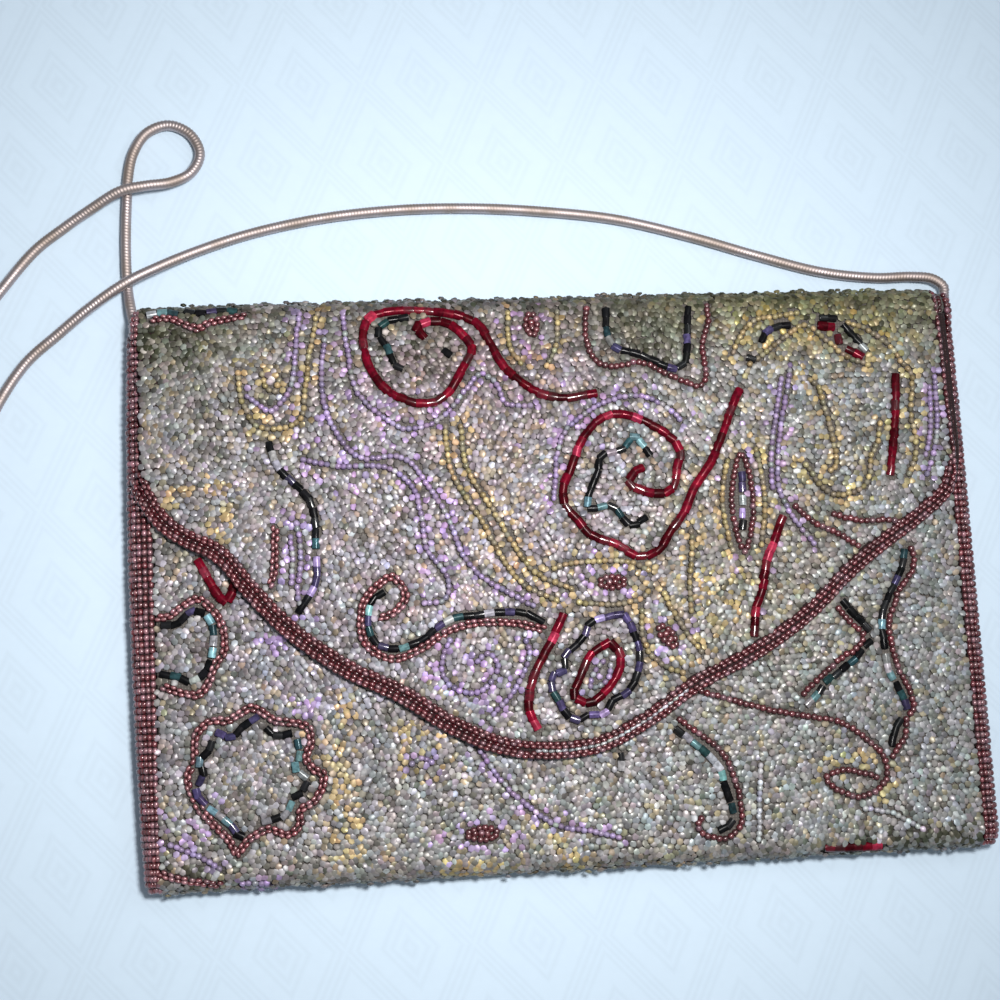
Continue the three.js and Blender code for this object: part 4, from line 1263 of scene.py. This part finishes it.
# The room's light, and lamps that aim at one spot of the bag: name, place and breadth in metres, spread in
# degrees, power and colour
ROOM_LIGHT, ROOM_STRENGTH = (0.86, 0.93, 1.0, 1.0), 0.25
LAMP_AIM_M = (-0.045, 0.016, 0.0)
LAMPS = (
    ("flash", (0.05, 0.05, 0.455), 0.09, 92.0, 0.68, (1.0, 0.985, 0.96)),
    ("window", (0.5, 0.35, 0.6), 0.4, 180.0, 0.6, (0.95, 0.98, 1.0)),
)


class CLUTCH_OT_stage(bpy.types.Operator):
    """Camera, pale table and soft light"""
    bl_idname = "clutch.stage"
    bl_label = "Stage"

    def execute(self, context):
        scene = context.scene
        scene.view_settings.view_transform = "Standard"
        eye = bpy.data.cameras.new("eye")
        eye.lens = EYE_LENS
        eye.sensor_width = EYE_SENSOR
        camera = bpy.data.objects.new("eye", eye)
        camera.location = EYE_PLACE_M
        camera.rotation_euler = [math.radians(turn) for turn in EYE_TURN]
        scene.collection.objects.link(camera)
        scene.camera = camera
        self.table()
        self.light(scene)
        return {"FINISHED"}

    @staticmethod
    def table():
        corners = ((-1, -1, 0), (1, -1, 0), (1, 1, 0), (-1, 1, 0))
        mesh = joined_mesh("table", np.array(corners) * TABLE_REACH, range(4), [0])
        mesh.materials.append(floor_finish("table_cloth", chosen("table")))
        table = bpy.data.objects.new("table", mesh)
        table.location = (0, 0, -TABLE_DROP_M)
        bpy.context.scene.collection.objects.link(table)

    @staticmethod
    def light(scene):
        world = bpy.data.worlds.new("room")
        scene.world = world
        world.use_nodes = True
        sky = world.node_tree.nodes["Background"]
        sky.inputs["Color"].default_value = ROOM_LIGHT
        sky.inputs["Strength"].default_value = ROOM_STRENGTH
        for name, place, breadth, spread, power, colour in LAMPS:
            lamp = bpy.data.lights.new(name, "AREA")
            lamp.shape = "DISK"
            lamp.size = breadth
            lamp.spread = math.radians(spread)
            lamp.energy = power
            lamp.color = colour
            holder = bpy.data.objects.new(name, lamp)
            holder.location = place
            way = Vector(LAMP_AIM_M) - holder.location
            holder.rotation_euler = way.to_track_quat("-Z", "Y").to_euler()
            scene.collection.objects.link(holder)


def flap_grid(columns, rows):
    """Outer points of the back, folds and flap as one strip, from the front seam round to the flap."""
    share = np.linspace(1, -1, columns)
    turn = np.linspace(-math.pi / 2, math.pi / 2, 14)
    strips = [on_hem(share * PANEL_HALF, np.full(columns, angle)) for angle in turn[::-1]]
    for y in np.linspace(HEM_Y, SIDE_TOP_Y, 24)[1:]:
        strips.append(on_back(share * PANEL_HALF, np.full(columns, y)))
    strips += [on_fold(share * FLAP_HALF, np.full(columns, angle)) for angle in turn]
    inset = 0.6
    x = share * (FLAP_HALF - inset)
    for part in np.linspace(0, 1, rows)[1:]:
        y = FOLD_Y + part * (flap_bottom(x) + inset - FOLD_Y)
        strips.append(on_height(flap_height, x, y))
    return np.stack([s[0] for s in strips]), np.stack([s[1] for s in strips])


class CLUTCH_OT_cloth(bpy.types.Operator):
    """The cloth that the beads are sewn to"""
    bl_idname = "clutch.cloth"
    bl_label = "Cloth"

    def execute(self, context):
        finish = cloth_material()
        depth = size("cloth_depth")
        points, ways = flap_grid(56, 34)
        mesh = shell_mesh("cloth_back_and_flap", points, ways, depth, WALL)
        piece = add_piece("cloth_back_and_flap", mesh, finish, ["back_and_flap"])
        length = HEM_RUN + SIDE_TOP_Y - HEM_Y + FOLD_RUN + FOLD_Y - FREE_EDGE[:, 1].min()
        cut = PANEL_HALF * 2 * (HEM_RUN + SIDE_TOP_Y - HEM_Y) + FLAP_HALF * 2 * FOLD_RUN
        flap_x = np.linspace(-FLAP_HALF, FLAP_HALF, 200)
        cut += (FOLD_Y - flap_bottom(flap_x)).mean() * FLAP_HALF * 2
        length * MM
        cut * MM * MM
        x, y = np.meshgrid(np.linspace(PANEL_HALF, -PANEL_HALF, 60),
                           np.linspace(FRONT_HIGH[1], HEM_Y - SEAM_GAP, 36))
        points, ways = on_height(front_height, x, y)
        mesh = shell_mesh("cloth_front", points, ways, depth, WALL)
        piece = add_piece("cloth_front", mesh, finish, ["front_panel"])
        2 * PANEL_HALF * MM
        (FRONT_HIGH[1] - FRONT_LOW[1]) * MM
        return {"FINISHED"}


# Strings of the flap's binding: the kind, how deep it lies, the first bead's share of a pitch, then share
# of the edge's length and distance in from the edge
FLAP_ROWS = (
    ("band", 0.0, 0.0, [(0.01, 0.6), (0.84, 0.6), (0.89, 2.6), (1.0, 2.6)]),
    # The two deeper rows between the band's rows are beads of plain dark crimson, painted dark as the shade
    # in that gap
    ("satin", 0.9, 0.5, [(0.875, 1.15), (1.0, 1.15)]),
    ("band", 0.0, 0.5, [(0.0, 1.45), (0.855, 1.45)]),
    ("satin", 0.3, 0.0, [(0.01, 2.4), (0.4, 2.4)]),
    ("pale", 0.05, 0.0, [(0.41, 2.2), (0.555, 2.15)]),
    ("band", 0.0, 0.0, [(0.0, 3.4), (0.353, 3.4), (0.463, 2.95), (0.576, 2.8), (0.875, 2.7)]),
    ("band", 0.0, 0.5, [(0.005, 4.25), (0.353, 4.25), (0.463, 3.8), (0.576, 3.65), (0.862, 3.55)]),
)


def band_bed(x, y):
    """The flap, and past its left edge the side binding that the bead rows run out on."""
    points, ups = unrolled_flap(x, y)
    reach = np.clip((-x - LIP_X) / side_width(-1, y), 0, 0.99)
    beyond, out = on_side(-1, np.arccos(reach ** (SIDE_FULLNESS / 2)), np.minimum(y, SIDE_TOP_Y))
    off = np.clip((-x - FLAP_HALF + 1) / 3, 0, 1)[:, None]
    return points * (1 - off) + (beyond + out * BAND_RISE) * off, unit(ups * (1 - off) + out * off)


def flap_rows():
    """Kind, places and ways up of the strings of the flap's binding; some run on over the fold."""
    run = run_along(BAND_OUTLINE)
    share = run / run[-1]
    rows = []
    for kind, depth, first, stops in FLAP_ROWS:
        at, inset = zip(*stops)
        line = beside(BAND_OUTLINE, np.interp(share, at, inset))[(share >= at[0]) & (share <= at[-1])]
        if at[-1] == 1:
            line = np.vstack([line, [line[-1, 0], FOLD_Y + FOLD_RUN]])
        places, _ = along_curve(line, size("seed_pitch"), first)
        points, ups = band_bed(*places.T)
        rows.append((kind, points - ups * depth, ups))
    return rows


# Rows of a binding: how deep a bead may sink, how much it strays and turns, how sizes differ, and half a
# bead's length against its pitch
ROW_SINK, ROW_STRAY, ROW_TURN, ROW_SPREAD, ROW_SHARE = 0.12, 0.05, 0.1, 0.04, 0.46

# How thick the strings of the flap's binding are against a string of the ornament
ROW_GROWTH = {"band": 0.82, "satin": 0.8, "pale": 0.65}


def row_radius(kind):
    """Radius of the beads on a string of a binding."""
    return size("seed_radius") * ROW_GROWTH.get(kind, 1.0)


class CLUTCH_OT_bindings(bpy.types.Operator):
    """Rows of dark red beads along the flap's edge and the side seams"""
    bl_idname = "clutch.bindings"
    bl_label = "Bindings"

    def execute(self, context):
        rng = np.random.default_rng(23)
        material = bead_finish("binding_glass", metallic=0.2, coat=1.0, mottle=0.25, rough=0.21)
        tape = cloth_finish("binding_tape", chosen("dark_red") * 0.4, chosen("dark_red") * 0.1)
        self.flap_band(material, tape, rng)
        for side, name in ((-1, "left"), (1, "right")):
            self.side_rows(side, name, material, tape, rng)
        return {"FINISHED"}

    @staticmethod
    def row(beads, points, ups, rng, kind):
        """A string of beads through the points, bedded under the surface."""
        holes = unit(np.gradient(points, axis=0))
        radius = row_radius(kind)
        middles = points - ups * (radius + rng.uniform(0, ROW_SINK, len(points)))[:, None]
        middles = middles + rng.normal(0, ROW_STRAY, middles.shape)
        holes = unit(holes + rng.normal(0, ROW_TURN, holes.shape))
        beads.add(middles, holes, ups, radius * rng.normal(1, ROW_SPREAD, len(points)),
                  size("seed_pitch") * ROW_SHARE, string_tints(kind, len(points), rng),
                  gleam=string_painted_highlight(kind, len(points), rng))

    def flap_band(self, material, tape, rng):
        """The bead rows along the flap's edge and the tape under them."""
        beads = Beads()
        for kind, points, ups in flap_rows():
            self.row(beads, points, ups, rng, kind)
        add_piece("flap_binding_beads", beads.mesh("flap_binding_beads", SEED_PATTERN), material)
        middles, _ = along_curve(FLAP_OUTLINE, 1.5)
        insets = np.linspace(BAND_WIDTH, SEAM_GAP / 2, 5)
        rows = [on_height(flap_height, *beside(middles, inset).T) for inset in insets]
        points, ups = np.stack([r[0] for r in rows]), np.stack([r[1] for r in rows])
        mesh = shell_mesh("flap_binding_tape", points, ups, TAPE_DEPTH, WALL)
        add_piece("flap_binding_tape", mesh, tape, ["flap_binding"])

    def side_rows(self, side, name, material, tape, rng):
        """The bead rows of one side binding, some of them over the chain's cap, and the tape under them."""
        beads = Beads()
        fine = np.linspace(-math.pi / 2, math.pi / 2, 300)
        outline, _ = on_side(side, fine, np.zeros(300))
        run = run_along(outline)
        count = int(run[-1] / size("row_pitch"))
        low, cap_top, top_end = SIDE_LOW[1] + 0.5, TOP_Y - 1.2, SIDE_TOP_Y - SEAM_GAP
        for k in range(count):
            angle = np.interp((k + 0.5) * run[-1] / count, run, fine)
            over_cap = CAP_ROWS[0] < angle < CAP_ROWS[1]
            top = cap_top if over_cap else top_end
            if side < 0 and k == count - 1:
                top = LEFT_LIP_Y
            y = np.arange(low, top, size("seed_pitch"))
            swell = (FLAP_CLEARANCE + WALL) / 2 if over_cap else 0.0
            points, ups = on_side(side, np.full(len(y), angle), y, swell)
            self.row(beads, points, ups, rng, name + "_side")
        add_piece("side_binding_beads_" + name, beads.mesh("side_binding_beads_" + name, SEED_PATTERN),
                  material)
        angles, y = np.meshgrid(np.linspace(-math.pi / 2, math.pi / 2, 16) * -side,
                                np.linspace(SIDE_LOW[1] + 0.1, SIDE_TOP_Y, 48))
        points, ups = on_side(side, angles, y)
        mesh = shell_mesh("side_binding_tape_" + name, points, ups, TAPE_DEPTH, WALL)
        piece = add_piece("side_binding_tape_" + name, mesh, tape, ["side_binding_" + name])


class CLUTCH_OT_ornament(bpy.types.Operator):
    """Charted strings and tube beads, then the ground beads between them"""
    bl_idname = "clutch.ornament"
    bl_label = "Ornament and ground"

    def execute(self, context):
        rng = np.random.default_rng(11)
        ground = bead_finish("ground_glass", metallic=0.25, coat=0.0, mottle=0.25, rough=0.34)
        strings = bead_finish("string_glass", metallic=0.2, coat=1.0, mottle=0.25, rough=0.21)
        tubes = bead_finish("tube_glass", metallic=0.1, coat=0.03, mottle=0.45, rough=0.16,
                            shine=0.08, glints=0.2)
        finishes = (strings, ground, tubes)
        flap = self.ornament("flap", charted_flap, FLAP_CHART, FLAP_ALMONDS + [TALL_ALMOND], finishes, rng)
        front = self.ornament("front", charted_front, FRONT_CHART, FRONT_ALMONDS, finishes, rng)
        self.flap_ground(flap, ground, rng)
        self.front_ground(front, ground, rng)
        self.back_ground(ground, rng)
        return {"FINISHED"}

    @staticmethod
    def ornament(name, surface, chart, almonds, finishes, rng):
        """The strings and tubes of one chart."""
        ornament = Ornament(surface, rng)
        for kind, points in charted_lines(chart, almonds):
            ornament.lay(kind, points)
        lots = ((ornament.seeds, SEED_PATTERN), (ornament.soft, SOFT_PATTERN), (ornament.tubes, TUBE_PATTERN))
        for (beads, pattern), part, finish in zip(lots, ("strings", "lilac_strings", "tubes"), finishes):
            add_piece(name + "_" + part, beads.mesh(name + "_" + part, pattern), finish)
        return ornament

    @staticmethod
    def ground(name, points, ways, chart, material, rng, pattern=GROUND_PATTERN, growth=1.0):
        beads = lay_ground(points, ways, chart, rng, growth)
        add_piece(name, beads.mesh(name, pattern), material)

    def flap_ground(self, flap, material, rng):
        """Ground beads of the flap and of the fold above it, clear of its binding."""
        edge = 1.6

        def keep(places):
            inside = (places[:, 1] > flap_bottom(places[:, 0])) & (places[:, 0] < FLAP_HALF - 2 * edge)
            return inside & (nearest(places, BAND_OUTLINE) > edge)

        low, high = (-FLAP_HALF - LIP_COVER, FREE_EDGE[:, 1].min()), (FLAP_HALF, FOLD_Y + FOLD_RUN)
        for kind, row, _ in flap_rows():
            flap.lines.setdefault(row_radius(kind), []).append(row)
        places = ground_places(low, high, keep, unrolled_flap, flap.lines, rng)
        points, ways = unrolled_flap(*places.T)
        over = places[:, 1] > FOLD_Y
        left = places[:, 0] < 0
        for name, part in (("flap_beads_left", left & ~over), ("flap_beads_right", ~left & ~over),
                           ("top_fold_beads", over)):
            self.ground(name, points[part], ways[part], FLAP_CHART, material, rng)

    def front_ground(self, front, material, rng):
        """Ground beads of the front and the hem, as far as they can be seen under the flap's edge."""
        under_flap = 3.0

        def keep(places):
            covered = places[:, 1] > flap_bottom(places[:, 0])
            return ~covered | (nearest(places, BAND_OUTLINE) < under_flap)

        low, high = (-PANEL_HALF - LIP_COVER, HEM_Y - HEM_RUN), (PANEL_HALF, FRONT_HIGH[1])
        places = ground_places(low, high, keep, unrolled_front, front.lines, rng)
        points, ways = unrolled_front(*places.T)
        hem = places[:, 1] < HEM_Y
        for name, part in (("front_beads", ~hem), ("hem_beads", hem)):
            self.ground(name, points[part], ways[part], FRONT_CHART, material, rng)

    def back_ground(self, material, rng):
        """Plain ground beads on the back, larger and wider apart."""
        growth = 1.25
        places = hex_places((-PANEL_HALF, HEM_Y), (PANEL_HALF, FOLD_Y), size("back_pitch"), 0.12, rng)
        for name, side in (("left", places[:, 0] < 0), ("right", places[:, 0] >= 0)):
            points, ways = on_back(*places[side].T)
            self.ground("back_beads_" + name, points, ways, None, material, rng, BACK_PATTERN, growth)


class CLUTCH_OT_chain(bpy.types.Operator):
    """The snake chain and the caps that it is clamped in"""
    bl_idname = "clutch.chain"
    bl_label = "Chain"

    def execute(self, context):
        material = chain_finish("chain_plating", chosen("plating"), chosen("tarnish"))
        self.length("snake_chain_left", CHAIN_LEFT_WAY, material, "chain_left")
        self.length("snake_chain_right", CHAIN_RIGHT_WAY, material, "chain_right")
        for name in ("left", "right"):
            self.cap(name, material)
        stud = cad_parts["press_stud"]
        stud.data.materials.clear()
        stud.data.materials.append(stud_finish("stud_steel"))
        return {"FINISHED"}

    @staticmethod
    def length(name, way, material, node):
        """Wavy ribs round the chain's middle line: a groove, then two rings on the rib."""
        sides, steps, groove, waviness = 10, 3, 0.9, 0.22
        places, ahead = along_curve(dense_curve(way), size("rib_pitch") / steps)
        ups = unit(np.array([0.0, 0.0, 1.0]) - ahead * ahead[:, 2:])
        across = np.cross(ahead, ups)
        turn = 2 * math.pi * np.arange(sides) / sides
        radius = size("chain_radius") * np.where(np.arange(len(places)) % steps, 1.0, groove)
        wave = waviness * np.cos(2 * turn)
        rings = (places[:, None] + ahead[:, None] * wave[None, :, None]
                 + ups[:, None] * (radius[:, None] * np.cos(turn))[..., None]
                 + across[:, None] * (radius[:, None] * np.sin(turn))[..., None])
        add_piece(name, tube_mesh(name, rings), material, [node])

    @staticmethod
    def cap(name, material):
        """A short turned cap with a rim at each end."""
        sides = 20
        low, high = node_span("chain_cap_" + name)
        middle = (low + high) / 2
        radius = (high[0] - low[0]) / 2
        # Shares of the cap's length and of its radius
        profile = [(0.0, 0.85), (0.06, 1.0), (0.2, 1.0), (0.26, 0.86), (0.74, 0.86), (0.8, 1.0),
                   (0.94, 1.0), (1.0, 0.85)]
        turn = 2 * math.pi * np.arange(sides) / sides
        rings = np.array([[(middle[0] + radius * r * math.sin(a), low[1] + t * (high[1] - low[1]),
                            middle[2] + radius * r * math.cos(a)) for a in turn] for t, r in profile])
        add_piece("chain_end_" + name, tube_mesh("chain_end_" + name, rings), material,
                  ["chain_cap_" + name])


class CLUTCH_PT_panel(bpy.types.Panel):
    """Lists the steps that dress the clutch"""
    bl_idname = "CLUTCH_PT_panel"
    bl_label = "Beaded Clutch"
    bl_space_type = "VIEW_3D"
    bl_region_type = "UI"
    bl_category = "Clutch"

    def draw(self, context):
        for group in (context.scene.clutch_sizes, context.scene.clutch_colours):
            for name in group.__annotations__:
                self.layout.prop(group, name)
        for step in STEPS:
            self.layout.operator(step.bl_idname)


STEPS = (CLUTCH_OT_stage, CLUTCH_OT_chain, CLUTCH_OT_cloth, CLUTCH_OT_bindings, CLUTCH_OT_ornament)
GROUPS = (ClutchColours, ClutchSizes)


def register():
    for part in GROUPS + STEPS + (CLUTCH_PT_panel,):
        bpy.utils.register_class(part)
    bpy.types.Scene.clutch_colours = bpy.props.PointerProperty(type=ClutchColours)
    bpy.types.Scene.clutch_sizes = bpy.props.PointerProperty(type=ClutchSizes)


def unregister():
    del bpy.types.Scene.clutch_colours
    del bpy.types.Scene.clutch_sizes
    for part in reversed(GROUPS + STEPS + (CLUTCH_PT_panel,)):
        bpy.utils.unregister_class(part)


def main():
    register()
    bpy.ops.clutch.stage()
    bpy.ops.clutch.chain()
    bpy.ops.clutch.cloth()
    bpy.ops.clutch.bindings()
    bpy.ops.clutch.ornament()
    bpy.context.view_layer.update()


if __name__ == "__main__":
    main()
